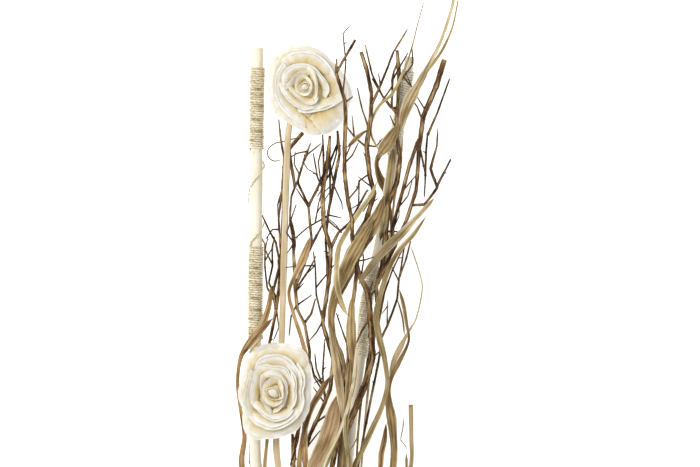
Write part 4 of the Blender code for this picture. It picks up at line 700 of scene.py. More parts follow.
def inside(outline, x, y):
    """Is the sheet point inside the closed outline?"""
    odd = False
    for k in range(len(outline)):
        (x1, y1), (x2, y2) = outline[k - 1], outline[k]
        if (y1 > y) != (y2 > y) and x < x1 + (y - y1) * (x2 - x1) / (y2 - y1):
            odd = not odd
    return odd


def height_limits(chains):
    """Lowest and highest place of each vertex: above the table, and under or over the roses."""
    floor = np.concatenate([c.depth for c in chains])
    ceiling = np.full(len(floor), 1e3)
    roses = [(base, [(cx + (px - cx) * ROSE_ROOM, cy + (py - cy) * ROSE_ROOM) for px, py in outline])
             for (cx, cy), base, outline in ROSES.values()]
    for c in chains:
        if c.kind in ("stick", "cane"):
            continue
        for k, (x, y) in enumerate(c.xy):
            for base, outline in roses:
                if not inside(outline, x, y):
                    continue
                if c.group == "twig_front":
                    floor[c.start + k] = base + SPRIG_LIFT + c.depth[k]
                else:
                    tilt = c.half[k] * abs(math.sin(c.roll[k]))
                    ceiling[c.start + k] = base - GAP - c.depth[k] - tilt - 0.4
    return floor, ceiling


SETTLE_ROUNDS = 900
SMOOTH_SHARE = 0.75        # of the rounds, in which each stem is also kept smooth
MOST_MOVE, MOST_PUSH = 14.0, 8.0     # mm a stem may be lifted or lowered, in all and in one round
LOOSE = 0.22               # a crossing that can move less than this is left to the packing of the tie
KEPT_SHIFT = 0.997         # share of its shift that a stem keeps in a round: it drifts back a little


def settle_heights(chains):
    """Lift and lower stems until none touches another, keeping who is in front."""
    n = 0
    for c in chains:
        c.start = n
        n += len(c.xy)
    z = np.concatenate([c.z for c in chains])
    hold = np.concatenate([c.hold for c in chains])
    floor, ceiling = height_limits(chains)
    pairs = close_pairs(chains)
    ia, ib, ja, jb = pairs["ia"], pairs["ib"], pairs["ja"], pairs["jb"]
    s, t = pairs["s"], pairs["t"]
    z = np.clip(z, floor, ceiling)
    sign = np.where(height_apart(z, pairs) >= 0, 1.0, -1.0)
    wia, wib, wja, wjb = hold[ia] * (1 - s), hold[ib] * s, hold[ja] * (1 - t), hold[jb] * t
    mass = np.maximum(wia * (1 - s) + wib * s + wja * (1 - t) + wjb * t, 1e-6)
    free = np.maximum(np.maximum(wia, wib), np.maximum(wja, wjb)) > LOOSE
    z0 = z.copy()
    for step in range(SETTLE_ROUNDS):
        slope_i = (z[ib] - z[ia]) / np.maximum(pairs["li"], 1e-6)
        slope_j = (z[jb] - z[ja]) / np.maximum(pairs["lj"], 1e-6)
        steep = np.sqrt(1 + np.minimum(np.maximum(slope_i ** 2, slope_j ** 2), 1.2))
        miss = pairs["need"] * steep - sign * height_apart(z, pairs)
        push = np.where(miss > 0, miss, 0.0) * sign / mass
        push = np.clip(push, -MOST_PUSH, MOST_PUSH)
        total, count = np.zeros(n), np.zeros(n)
        hit = (miss > 0) & free
        for idx, w, dirn in ((ia, wia, 1), (ib, wib, 1), (ja, wja, -1), (jb, wjb, -1)):
            m = hit & (w > 0)
            np.add.at(total, idx[m], dirn * push[m] * w[m])
            np.add.at(count, idx[m], w[m])
        z = z + np.where(count > 0, total / np.maximum(count, 0.35), 0.0) * 0.9
        if step < SETTLE_ROUNDS * SMOOTH_SHARE:
            for c in chains:
                m = len(c.xy)
                if m < 3 or c.hold[0] == 0:
                    continue
                part = slice(c.start, c.start + m)
                d = (z[part] - z0[part]) * KEPT_SHIFT
                d2 = d.copy()
                d2[1:-1] = d[1:-1] * 0.6 + (d[:-2] + d[2:]) * 0.2
                z[part] = z0[part] + np.where(c.hold > 0, d2, d)
        z = np.clip(z, z0 - MOST_MOVE, z0 + MOST_MOVE)
        z = np.where(hold > 0, np.clip(z, floor, ceiling), z)
        for c in chains:
            if c.root is not None:
                parent, k, f = c.root
                z[c.start] = z[parent.start + k] * (1 - f) + z[parent.start + k + 1] * f
    close_up(chains, z, pairs, sign)
    for c in chains:
        c.z = z[c.start:c.start + len(c.xy)].copy()


def close_up(chains, z, pairs, sign):
    """Bring each loose blade against its nearest neighbour, so that nothing hangs in the air."""
    ia, ja = pairs["ia"], pairs["ja"]
    for c in chains:
        if c.kind != "leaf":
            continue
        first, last = c.start, c.start + len(c.xy) - 1
        slack = sign * height_apart(z, pairs) - pairs["need"]
        mine_i = (ia >= first) & (ia < last)
        mine_j = (ja >= first) & (ja < last)
        own = np.where(mine_i, ia - first, ja - first)
        low_y = c.xy[np.clip(own, 0, len(c.xy) - 1), 1]
        usable = (mine_i | mine_j) & (low_y > FAN_LOW + 10) & (slack > -0.2) & pairs["square"]
        if not usable.any():
            continue
        k = int(np.argmin(np.where(usable, slack, np.inf)))
        if slack[k] <= 0.25:
            continue
        shift = (slack[k] + 0.08) * (-sign[k] if mine_i[k] else sign[k])
        for v in range(len(c.xy)):
            away = abs(v - own[k] - 0.5)
            z[first + v] += shift * c.hold[v] * (1.0 if away < 1.6 else max(0.0, 1 - (away - 1.6) / 4))


def unit(rows):
    """The rows, each made one long."""
    return rows / np.maximum(np.linalg.norm(rows, axis=1)[:, None], 1e-9)


def cross_frame(pts):
    """For each course point: the direction across it in the sheet, and the lift."""
    ahead = unit(np.gradient(pts, axis=0))
    side = unit(np.cross(ahead, np.array([0, 0, 1.0])))
    return side, np.cross(side, ahead)


def shorten(chain, share):
    """Keep only this share of a shoot's length, from its root."""
    rows = np.column_stack([chain.xy, chain.z, chain.half])
    run = spread(rows[:, :3])
    even = np.linspace(0, run[-1] * share, len(rows))
    rows = np.stack([np.interp(even, run, rows[:, i]) for i in range(4)], axis=1)
    chain.xy, chain.z, chain.half = rows[:, :2], rows[:, 2], rows[:, 3]


def girth(key, y):
    """How much fuller a stem or blade is than its plain form, at sheet y."""
    # bark makes the twigs fuller than their plain form, most of all in the crowded middle
    usual = 1.3 if "_mid" in key else 1.15 if "twig" in key else 1.0
    steps = sorted(GIRTH.get(key, [(0, usual)]))
    return np.interp(y, *zip(*steps))


LAID_CLEAR = 1.2           # mm between a blade laid on top and what carries it


def laid_on(chains, rows):
    """Heights at which a blade rests on all that lies under it, stiff enough to bridge the dips."""
    ends = [(c.xy[k], c.xy[k + 1], c.half[k:k + 2].max(),
             max(c.z[k], c.z[k + 1]) + c.depth[k] + c.half[k] * abs(math.sin(c.roll[k])))
            for c in chains for k in range(len(c.xy) - 1)]
    a, b, half, top = (np.array(part) for part in zip(*ends))
    run = b - a
    length = np.maximum((run ** 2).sum(1), 1e-9)
    rest = []
    for x, y, width in rows:
        at = np.array([x, y])
        share = np.clip(((at - a) * run).sum(1) / length, 0, 1)
        apart = np.hypot(*(a + run * share[:, None] - at).T)
        under = apart < half + width / 2 + 0.5
        rest.append(top[under].max() if under.any() else np.nan)
    rest = np.array(rest)
    known = ~np.isnan(rest)
    rest = np.interp(np.arange(len(rest)), np.nonzero(known)[0], rest[known])
    # the blade is stiff: it may bridge a dip, but never lies lower than what carries it
    for _ in range(5):
        eased = rest.copy()
        eased[1:-1] = (rest[:-2] + rest[1:-1] + rest[2:]) / 3
        rest = np.maximum(rest, eased)
    return rest + LAID_CLEAR


def grow_fine(groups, chains):
    """The finer shoots and blades, settled between the stems that already lie there."""
    rng = random.Random(FINE_SEED)
    fine = []
    for spray, thick, rise, pts in FINE_SHOOTS:
        shoot = sprout(spray, groups[spray], thick, rise, pts, rng)
        groups[spray].append(shoot)
        fine.append(shoot)
    strands = []
    for k, (head, slot, finish, roll, pts) in enumerate(FINE_BLADES):
        rows = np.array(pts, float)
        if head is None:
            rows = flow(rows, 6.0, 0.9)
            heights = laid_on(chains + fine, rows)
        else:
            heights = [head] * len(rows)
        n = len(rows)
        chain = Chain(f"strand_{k:02d}", "leaf", rows[:, :2], heights, rows[:, 2] / 2, [LEAF_T / 2] * n)
        chain.roll[:] = [math.radians(roll * math.cos(3 * i / n)) for i in range(n)]
        strands.append((chain, slot, finish))
        fine.append(chain)
    for chain in chains:
        chain.hold[:] = 0.0
    settle_heights(chains + fine)
    return strands


# Mesh making

class Sheaf:
    """The mesh of one piece while it grows: points in sheet millimetres, each with its lay
    (x and y across, z along the fibre, in mm), the tone of its stem and a rim value."""

    def __init__(self):
        self.points, self.faces, self.looks = [], [], []
        self.lay, self.tone, self.rim = [], [], []

    def add(self, cells, tone):
        """A skin over rows of cells (point, lay, rim value), each row closed into a ring."""
        first, cols = len(self.points), len(cells[0])
        for point, lay, rim in (cell for row in cells for cell in row):
            self.points.append(tuple(point))
            self.lay.append(tuple(lay))
            self.rim.append(rim)
            self.tone.append(tone)
        for i in range(len(cells) - 1):
            a = first + i * cols
            for j in range(cols):
                n = (j + 1) % cols
                self.faces.append((a + j, a + n, a + cols + n, a + cols + j))
                self.looks.append(0)
        return first

    def cap(self, first, count, look, flip):
        """Close a ring of points with a flat end."""
        ring = list(range(first, first + count))
        self.faces.append(tuple(ring[::-1] if flip else ring))
        self.looks.append(look)

    def tube(self, cells, tone, end_look=0):
        """A skin with a flat end at its first and at its last ring."""
        sides = len(cells[0])
        first = self.add(cells, tone)
        self.cap(first, sides, end_look, False)
        self.cap(first + (len(cells) - 1) * sides, sides, end_look, True)

    def sheet(self, cells, thick, tone):
        """A thin closed sheet with two faces and an edge all round, through rows of cells."""
        g = np.array([[cell[0] for cell in row] for row in cells], float)
        normal = np.cross(np.gradient(g, axis=0), np.gradient(g, axis=1))
        normal /= np.maximum(np.linalg.norm(normal, axis=2)[..., None], 1e-9)
        front, back = g + normal * thick / 2, g - normal * thick / 2
        rows, cols = g.shape[:2]
        loop = [[(front[i, j], *cells[i][j][1:]) for j in range(cols)]
                + [(back[i, j], *cells[i][j][1:]) for j in reversed(range(cols))] for i in range(rows)]
        first = self.add(loop, tone)
        for i, flip in ((0, False), (rows - 1, True)):
            base = first + i * 2 * cols
            for j in range(cols - 1):
                quad = (base + j, base + j + 1, base + 2 * cols - 2 - j, base + 2 * cols - 1 - j)
                self.faces.append(quad[::-1] if flip else quad)
                self.looks.append(0)

    def piece(self, name, finishes, node_name):
        """The finished object, riding on the bunch in place of its CAD node."""
        mesh = bpy.data.meshes.new(name)
        place = [((x - TIE_X) * MM, (y - TIE_Y) * MM, z * MM) for x, y, z in self.points]
        mesh.from_pydata(place, [], self.faces)
        for label, kind, values in (("lay", "FLOAT_VECTOR", self.lay), ("tone", "FLOAT", self.tone),
                                    ("rim", "FLOAT", self.rim)):
            layer = mesh.attributes.new(label, kind, "POINT")
            layer.data.foreach_set("vector" if kind == "FLOAT_VECTOR" else "value",
                                   np.array(values, np.float32).ravel())
        for mat in finishes:
            mesh.materials.append(mat)
        mesh.polygons.foreach_set("material_index", self.looks)
        mesh.polygons.foreach_set("use_smooth", [len(f) == 4 for f in self.faces])
        mesh.validate()
        obj = bpy.data.objects.new(name, mesh)
        bpy.context.scene.collection.objects.link(obj)
        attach(obj, "root")
        if node_name:
            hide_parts(node_name)
        return obj


def cells_of(rows, columns, cell):
    """Rows of cells by a rule for one cell, which gives its point, its lay and its rim value."""
    return [[cell(i, j) for j in range(columns)] for i in range(rows)]


def wobble(x, y, z):
    """Smooth noise, about -1 to 1."""
    return noise.noise(Vector((x, y, z)))


def flow(rows, step, ease):
    """The course resampled on a curve through its points; ease 0 keeps it straight between them."""
    rows = np.array(rows, float)
    reach = np.maximum(np.linalg.norm(np.diff(rows[:, :3], axis=0), axis=1), 1e-6)
    out = []
    for k in range(len(rows) - 1):
        p, q, size = rows[k], rows[k + 1], reach[k]
        before, size_before = (rows[k - 1], reach[k - 1]) if k else (2 * p - q, size)
        after, size_after = (rows[k + 2], reach[k + 1]) if k + 2 < len(rows) else (2 * q - p, size)
        straight = (q - p) / size
        ta = (q - before) / (size + size_before) * ease + straight * (1 - ease)
        tb = (after - p) / (size + size_after) * ease + straight * (1 - ease)
        count = max(1, int(round(size / step)))
        for t in np.arange(count) / count:
            out.append(p * (2 * t ** 3 - 3 * t ** 2 + 1) + q * (3 * t ** 2 - 2 * t ** 3)
                       + size * (ta * (t ** 3 - 2 * t ** 2 + t) + tb * (t ** 3 - t ** 2)))
    out.append(rows[-1])
    return np.array(out)


def carried_frames(pts):
    """Two cross vectors at each point, to the side and up, carried along without twisting."""
    ahead = unit(np.gradient(pts, axis=0))
    seed = np.array([0.0, 0, 1]) if abs(ahead[0][2]) < 0.9 else np.array([1.0, 0, 0])
    side = np.cross(ahead[0], seed)
    sides, lifts = [], []
    for d in ahead:
        side = side - d * side.dot(d)
        side /= max(np.linalg.norm(side), 1e-9)
        sides.append(side.copy())
        lifts.append(np.cross(side, d))
    return np.array(sides), np.array(lifts)


def spread(pts):
    """Distance run along the points."""
    return np.concatenate([[0.0], np.cumsum(np.linalg.norm(np.diff(pts, axis=0), axis=1))])


def stem(sheaf, pts, radii, sides, tone, uneven=0.0, end_look=0):
    """A round stem with a slightly uneven skin, its ends cut square. The rim value runs from 0
    underneath to 1 on top."""
    side, lift = carried_frames(pts)
    run = spread(pts)
    seed = tone * 37.0

    def skin(k, j):
        a = 2 * math.pi * j / sides
        r = radii[k]
        if uneven:
            r *= 1 + uneven * wobble(math.cos(a) * 1.3 + seed, math.sin(a) * 1.3, run[k] * 0.22)
        c, s = math.cos(a) * r, math.sin(a) * r
        return pts[k] + side[k] * c + lift[k] * s, (c, s, run[k]), 0.5 + 0.5 * math.sin(a)

    sheaf.tube(cells_of(len(pts), sides, skin), tone, end_look)


# Twigs

KNOT_SPACING = 17.0        # mm between the swollen joints of a twig
KNOT_VARIES = (0.55, 1.5)  # the least and the most of that spacing
KNOT_SWELL = 0.15          # how much thicker a joint is
SWAY = (0.22, 0.22, 0.3)   # mm a twig strays from its course: across, along and up
TIP_TAPER = 22.0           # mm over which a twig thins towards its tip
SNAPPED_SHARE = 0.3        # of the tips end in a fine point
SPUR = (1.6, 4.2)          # length of the short spurs at the joints
SPUR_SHARE = 0.2           # of the joints have a spur
FAN_FOOT = 60.0            # sheet height below which no spur shows


def twig_course(chain, key, rng):
    """A twig's centre line and radius every two millimetres, kinked at its joints."""
    rows = flow(np.column_stack([chain.xy, chain.z, chain.half]), 2.0, 0.22)
    run = spread(rows[:, :3])
    seed = rng.uniform(0, 90)
    sway = np.array([[wobble(s * 0.06 + seed, 3.1, 0), wobble(s * 0.06, seed, 7.7),
                      wobble(9.2, s * 0.06, seed)] for s in run])
    fade = np.minimum(1.0, np.minimum(run, run[-1] - run) / 12.0)[:, None]
    rows[:, :3] += sway * fade * np.array(SWAY)
    knots, at = [], rng.uniform(4, KNOT_SPACING)
    while at < run[-1]:
        knots.append(at)
        at += KNOT_SPACING * rng.uniform(*KNOT_VARIES)
    radius = rows[:, 3] * girth(key, rows[:, 1])
    for knot in knots:
        radius *= 1 + KNOT_SWELL * np.exp(-((run - knot) / 1.5) ** 2)
    radius *= 1 + 0.04 * np.sin(run * 0.35 + seed)
    rows[:, 2] = np.maximum(rows[:, 2], radius * 1.1)
    return rows[:, :3], radius, run, knots


def add_spur(sheaf, pts, k, radius, tone, tipwards, rng):
    """A short spur at point k of a twig, leaning towards the tip."""
    ahead = pts[min(k + 1, len(pts) - 1)] - pts[k - 1]
    ahead = tipwards * ahead / max(np.linalg.norm(ahead), 1e-9)
    turn = rng.choice((-1, 1)) * rng.uniform(0.5, 1.1)
    out = np.array([ahead[0] * math.cos(turn) - ahead[1] * math.sin(turn),
                    ahead[0] * math.sin(turn) + ahead[1] * math.cos(turn), rng.uniform(-0.3, 0.5)])
    size = rng.uniform(*SPUR)
    spur = np.array([pts[k] + out * size * t for t in (0, 0.3, 0.6, 0.85, 1.0)])
    spur[2:, 2] += 0.3
    thick = min(0.62, radius * 0.75)
    stem(sheaf, spur, thick * np.array([1.15, 1.0, 0.85, 0.75, 0.4]), 6, tone, uneven=0.12)


def twig_piece(name, chains):
    """One spray: its stems with swollen joints, short spurs and tapered or snapped tips."""
    rng = random.Random(name)
    sheaf = Sheaf()
    for index, chain in enumerate(chains):
        key = f"{name} {index}"
        pts, radius, run, knots = twig_course(chain, key, rng)
        grown = chain.root is not None
        tip = run[-1] - run if grown else run
        root = run if grown else run[-1] - run
        if key not in SAWN_TWIGS:
            radius = radius * np.clip(0.72 + tip / TIP_TAPER, 0.0, 1.0)
            if rng.random() < SNAPPED_SHARE:
                radius = radius * np.clip(0.3 + tip / 3.0, 0.0, 1.0)
        if grown:
            radius = radius * (1 + 0.35 * np.exp(-root / 2.0))
        # thick stems are tanner than the thin shoots
        tone = 0.3 * rng.random() + 0.7 * min(1.0, max(0.0, (chain.half.max() - 0.6) / 0.9))
        stem(sheaf, pts, radius, 9 if chain.half.max() > 1.2 else 7, tone, uneven=0.09, end_look=1)
        for knot in knots:
            if rng.random() < 1 - SPUR_SHARE or knot > run[-1] - 4 or knot < 3:
                continue
            k = int(np.searchsorted(run, knot))
            if pts[k][1] >= FAN_FOOT:
                add_spur(sheaf, pts, k, radius[k], tone, 1 if grown else -1, rng)
    return sheaf.piece(name + "_bark", [dried_twig_bark(), snapped_wood()], name)


# Dry blades

# Blades that aged another way than the rest of their kind.
AGED = {"leaf_tall": "straw", "leaf_tall_thin": "leaf_pale", "leaf_crossing": "straw", "leaf_wisp": "straw",
        "leaf_left": "caramel", "leaf_left_short": "caramel", "leaf_centre": "caramel",
        "leaf_slant": "caramel", "leaf_hanging": "caramel"}
BLADE_COLUMNS = 11
BLADE_THICK = 0.42
BLADE_TIP = 7.0            # mm over which a blade narrows to its end
KEEL = (0.14, 0.26)        # depth of the fold along the middle against the half width
RIB_HEIGHT = 0.05


def blade_piece(name, chain, finish, free_foot, node_name=None):
    """A dry blade: ribbed lengthwise, keeled along its middle, with an uneven, rolled edge. The rim
    value is 0 along the middle and 1 at the edges."""
    rng = random.Random(name)
    seed, tone = rng.uniform(0, 50), rng.random()
    rows = flow(np.column_stack([chain.xy, chain.z, chain.half, chain.roll]), 2.4, 0.9)
    pts = rows[:, :3]
    side, lift = cross_frame(pts)
    run = spread(pts)
    keel = rng.uniform(*KEEL) * rng.choice((-1, 1, 1))
    cells = []
    for k, s in enumerate(run):
        end = min(1.0, 0.12 + (s / BLADE_TIP) ** 0.8)
        if free_foot:
            end = min(end, 0.12 + ((run[-1] - s) / BLADE_TIP) ** 0.8)
        half = rows[k, 3] * girth(name, pts[k][1]) * end * (1 + 0.12 * wobble(s * 0.07, seed, 0))
        turn = -rows[k, 4] - 0.22 * wobble(s * 0.035, seed, 4) * end
        across = side[k] * math.cos(turn) + lift[k] * math.sin(turn)
        up = lift[k] * math.cos(turn) - side[k] * math.sin(turn)
        fold = keel * (0.65 + 0.8 * wobble(s * 0.03, seed, 9))
        row = []
        for j in range(BLADE_COLUMNS):
            v = -1 + 2 * j / (BLADE_COLUMNS - 1)
            ragged = 1 + 0.07 * abs(v) ** 3 * wobble(s * 0.33, v * 2, seed)
            rise = fold * half * (0.55 - abs(v) ** 1.25)
            rise += RIB_HEIGHT * math.cos(v * 14) * min(1.0, half / 2.5)
            rise += 0.16 * v * abs(v) * half * wobble(s * 0.09, seed, 2 + v)
            row.append((pts[k] + across * half * v * ragged + up * rise, (v * half, 0.0, s), abs(v)))
        cells.append(row)
    sheaf = Sheaf()
    sheaf.sheet(cells, BLADE_THICK, tone)
    return sheaf.piece(name + "_dry", [dry_blade(finish + "_blade", *BLADE_TINTS[finish])], node_name)


# Sticks, cane and twine

STICK_STEP = 3.5           # mm between the rings of a stick or strip
STICK_SIDES, STRIP_SIDES = 30, 18
STRIP_SQUARE = 0.55        # 1 gives a strip an oval section, less a squarer one
WIND_PITCH = 2.3           # mm from one turn of the twine to the next
BAND_INSET = 1.2           # mm from the band's end to the middle of its last turn
STRAND_OFF = 1.0           # mm from the stick's skin to the middle of the strand
PLY_LAY = 8.5              # mm in which the two plies twist once round each other
TURN_STEPS, TIE_STEPS = 22, 40
# A strand: radius of a ply, how far the plies swing along the stick and away from it.
BAND_STRAND = (0.66, 0.42, 0.2)
TAIL_STRAND = (0.5, 0.42, 0.42)
TIE_STRAND = (1.1, 0.8, 0.2)
BAND_HAIRS, TAIL_HAIRS, TIE_HAIRS = 46, 14, 40
TIE_LOWEST = 1.32          # the tie is pressed flat against the table at this height


def stick_piece(name, chain, half):
    """A peeled stick, a little uneven, its ends sawn with a fine chamfer."""
    sheaf = Sheaf()
    pts = flow(np.column_stack([chain.xy, chain.z]), STICK_STEP, 0.9)
    run = spread(pts)
    radii = half * (1 + 0.018 * np.sin(run / 31.0 + half) + 0.012 * np.sin(run / 9.0))
    radii[0] *= 0.9
    radii[-1] *= 0.9
    pts = np.insert(pts, 1, pts[0] + (pts[1] - pts[0]) * 0.2, axis=0)
    radii = np.insert(radii, 1, radii[1])
    stem(sheaf, pts, radii, STICK_SIDES, 0.3 if "left" in name else 0.7, uneven=0.025, end_look=1)
    return sheaf.piece(name + "_wood", [peeled_willow(), sawn_end()], name)


def strip_piece(name, chain, half):
    """A split strip of cane with a flat section; the thick one is paler than the others."""
    thin = strip_half_depth(half) / half
    pts = flow(np.column_stack([chain.xy, chain.z]), STICK_STEP, 0.9)
    run = spread(pts)
    radii = half * (1 + 0.05 * np.sin(run / 14.0 + half) + 0.03 * np.sin(run / 4.7))
    side, lift = carried_frames(pts)

    def skin(k, j):
        a = 2 * math.pi * j / STRIP_SIDES
        c = math.copysign(abs(math.cos(a)) ** STRIP_SQUARE, math.cos(a)) * radii[k]
        s = math.copysign(abs(math.sin(a)) ** STRIP_SQUARE, math.sin(a)) * radii[k] * thin
        return pts[k] + side[k] * c + lift[k] * s, (c, s, run[k]), abs(c) / radii[k]

    sheaf = Sheaf()
    sheaf.tube(cells_of(len(pts), STRIP_SIDES, skin), 0.8 if half > THIN_STRIP else 0.0, 1)
    return sheaf.piece(name + "_strip", [split_cane(), sawn_end()], name)


def strand(sheaf, path, out, ahead, form, tone):
    """Two plies twisted into one flat strand: out points away from what it is wound on."""
    ply, wide, deep = form
    run = spread(path)
    for turn in range(2):
        a = 2 * math.pi * run / PLY_LAY + math.pi * turn
        pts = path + ahead * (wide * np.cos(a))[:, None] + out * (deep * np.sin(a))[:, None]
        stem(sheaf, pts, np.full(len(pts), ply), 7, tone + 0.2 * turn, uneven=0.14)


def hairs(sheaf, path, out, count, rng, size=(1.2, 3.2)):
    """Stray fibres standing off the twine."""
    for _ in range(count):
        k = rng.randrange(2, len(path) - 2)
        lean = np.array([rng.uniform(-1, 1), rng.uniform(-1, 1), rng.uniform(-0.4, 1)])
        way = out[k] + lean * 0.9
        way /= np.linalg.norm(way)
        length = rng.uniform(*size)
        curl = np.array([rng.uniform(-0.5, 0.5) for _ in range(3)]) * length
        pts = np.array([path[k] + way * length * t + curl * t * t for t in (0, 0.35, 0.7, 1.0)])
        stem(sheaf, pts, np.array([0.075, 0.07, 0.06, 0.04]), 3, rng.random())


def middle_at(centre, y):
    """Where the stick's middle lies at this sheet height: x and z."""
    return np.array([np.interp(y, centre[:, 1], centre[:, i]) for i in (0, 2)])


def wound_piece(name, host, radius, low, high):
    """A band of two-ply sisal wound turn against turn round a stick, with its loose tail."""
    rng = random.Random(name)
    centre = flow(np.column_stack([host.xy, host.z]), STICK_STEP, 0.9)[::-1]
    steps = round((high - low) / WIND_PITCH) * TURN_STEPS
    path, out, down_stick = [], [], []
    for k in range(steps + 1):
        y = high - BAND_INSET - (high - low - 2 * BAND_INSET) * k / steps
        a = 2 * math.pi * k / TURN_STEPS
        c, d = middle_at(centre, y), middle_at(centre, y - 4)
        down = np.array([d[0] - c[0], -4.0, d[1] - c[1]])
        down /= np.linalg.norm(down)
        right = np.cross(down, np.array([0, 0, 1.0]))
        right /= np.linalg.norm(right)
        way = right * math.cos(a) + np.cross(right, down) * math.sin(a)
        wander = 0.14 * wobble(k * 0.06, radius, 1)
        slip = 0.3 * wobble(math.cos(a), math.sin(a) + 4, k * 0.011)
        path.append(np.array([c[0], y, c[1]]) + way * (radius + STRAND_OFF + wander) + down * slip)
        out.append(way)
        down_stick.append(down)
    path, out = np.array(path), np.array(out)
    sheaf = Sheaf()
    # the right bands get a paler tone: painted light, offsetting the shade they lie in between the blades
    strand(sheaf, path, out, np.array(down_stick), BAND_STRAND, 1.3 if "right" in name else 0.2)
    hairs(sheaf, path, out, BAND_HAIRS, rng)
    if name in TAILS:
        loose = []
        for y, angle, off in TAILS[name]:
            c = middle_at(centre, y)
            a, reach = math.radians(angle), radius + WRAP_CLEAR + off
            loose.append((c[0] + reach * math.cos(a), y, c[1] + reach * math.sin(a)))
        loose = flow(loose, 0.9, 1.0)
        side, lift = carried_frames(loose)
        strand(sheaf, loose, side, lift, TAIL_STRAND, 0.5)
        hairs(sheaf, loose, side, TAIL_HAIRS, rng)
    return sheaf.piece(name + "_sisal", [sisal_twine()], name)


def tie_piece():
    """The tie: five turns of thick two-ply twine round the stems, pressed flat underneath."""
    rng = random.Random("tie")
    path, out = [], []
    reach = TWINE_TIE_D / 2
    for k in range(TIE_TURNS * TIE_STEPS + 1):
        a = 2 * math.pi * k / TIE_STEPS + math.pi / 2
        y = TIE_Y + (TIE_LENGTH - 4.0) * (0.5 - k / (TIE_TURNS * TIE_STEPS))
        x = TIE_X + (TIE_HALF_W + reach) * math.cos(a)
        z = TIE_CENTRE_Z + (TIE_HALF_H + reach) * math.sin(a)
        path.append((x, y + 0.25 * math.sin(a * 3), max(z, TIE_LOWEST)))
        way = np.array([math.cos(a) / TIE_HALF_W, 0, math.sin(a) / TIE_HALF_H])
        out.append(way / np.linalg.norm(way))
    path, out = np.array(path), np.array(out)
    down = np.tile(np.array([0, -1.0, 0]), (len(path), 1))
    sheaf = Sheaf()
    strand(sheaf, path, out, down, TIE_STRAND, 0.3)
    top = out[:, 2] > 0.2
    hairs(sheaf, path[top], out[top], TIE_HAIRS, rng, (1.2, 2.6))
    return sheaf.piece("tie_sisal", [sisal_twine()], "tie_twine")


# Roses of pith sheet

# Petals from the outside in. Each: rim height over the rose's foot, how far in the root lies
# (share of the rim's reach), root height, how far the rim rolls over, and the rim's course in mm
# from the heart.
ROSE_TOP_PETALS = [
    (8.0, 0.62, 6.5, 2.4, [
        (-22, 33), (-28, 31), (-32.1, 25.2), (-35, 17.3), (-36, 6.8), (-35.8, -3.8), (-34.2, -13.3),
        (-31, -21), (-26.5, -26.5), (-19, -28)]),
    (8.6, 0.62, 7.0, 2.4, [
        (-28, 28), (-24, 33), (-16.8, 37), (-7.3, 39.8), (2.2, 39.2), (10.7, 37), (17, 33.7), (22.3, 28.4),
        (27, 22), (31, 14)]),
    (8.2, 0.46, 9.5, 3.2, [
        (22, 27), (28, 22), (35, 14.6), (41, 5.7), (44.2, -2.7), (44.6, -9.5), (42.6, -17), (39, -25),
        (33, -29)]),
    (7.4, 0.5, 9.0, 3.0, [
        (42, -14), (40.5, -22), (37, -31), (32, -37), (25.5, -42.6), (17.5, -45), (10, -43), (4, -38)]),
    (8.0, 0.62, 8.0, 2.2, [
        (20, -43), (11, -46.4), (5, -46), (-3, -41.8), (-11.5, -36.6), (-19, -32), (-26, -27), (-30, -20)]),
    (12.2, 0.6, 8.6, 0.6, [
        (-16, 28), (-20.5, 25.2), (-25.2, 18.9), (-28.4, 12), (-29.4, 4.6), (-29.6, -3.8), (-28.6, -10.1),
        (-25.6, -16.5), (-20.6, -23.4), (-14.7, -28.6), (-6.2, -34.4), (2, -39)]),
    (12.2, 0.6, 8.6, 0.6, [
        (-24, 24), (-19.4, 30), (-10.5, 33.4), (0.1, 34.6), (8.6, 33), (15.9, 28.4), (22.3, 21.8), (27, 14),
        (29, 5)]),
    (12.4, 0.52, 8.8, 0.6, [
        (-8, -22), (-1, -24.9), (8.6, -23.9), (18.1, -21.8), (27, -18.2), (35, -12.8), (38, -5)]),
    (15.0, 0.58, 11.4, 0.35, [
        (-20, -2), (-22.3, 4.6), (-22.3, 10.5), (-18.6, 17), (-11.7, 21.4), (-3.1, 22.6), (5.6, 20.9),
        (12.2, 15.6), (18.2, 8.3), (22.3, 2), (22.8, -4.4), (19.6, -10.6)]),
    (15.0, 0.58, 11.4, 0.35, [
        (-25.4, 5), (-24.4, 0), (-22, -5.6), (-18.2, -10.9), (-13.3, -15.7), (-7.3, -20), (-0.6, -22.2),
        (7, -20.6), (14, -17.6)]),
    (17.8, 0.56, 14.2, 0.35, [
        (-19, -3), (-17.6, 1), (-15.2, 6.4), (-10.7, 11.6), (-4.3, 15), (2.6, 15.8), (6.6, 14.2)]),
    (17.8, 0.56, 14.2, 0.35, [
        (2, 18.6), (6, 17.8), (9.8, 12.6), (11.7, 5), (12, -2.4), (11.2, -9), (8.4, -15)]),
    (17.8, 0.56, 14.2, 0.35, [
        (-17.9, 3), (-15, -3.2), (-10.8, -8), (-5.6, -12.7), (0.1, -16.2), (5.4, -17.4), (10.4, -15),
        (13, -9.6)]),
    (20.4, 0.52, 16.8, 0.35, [
        (-4.2, -8.6), (-8, -5), (-9.8, 0), (-9.5, 5), (-6.9, 9.4), (-2, 11.6), (2.6, 10.4)]),
    (20.4, 0.52, 16.8, 0.35, [
        (-1, 11), (2.6, 9), (5.4, 6.4), (7, 2.4), (6.6, -3), (3.8, -7.4), (-1, -8.9), (-6.2, -6.6)]),
]
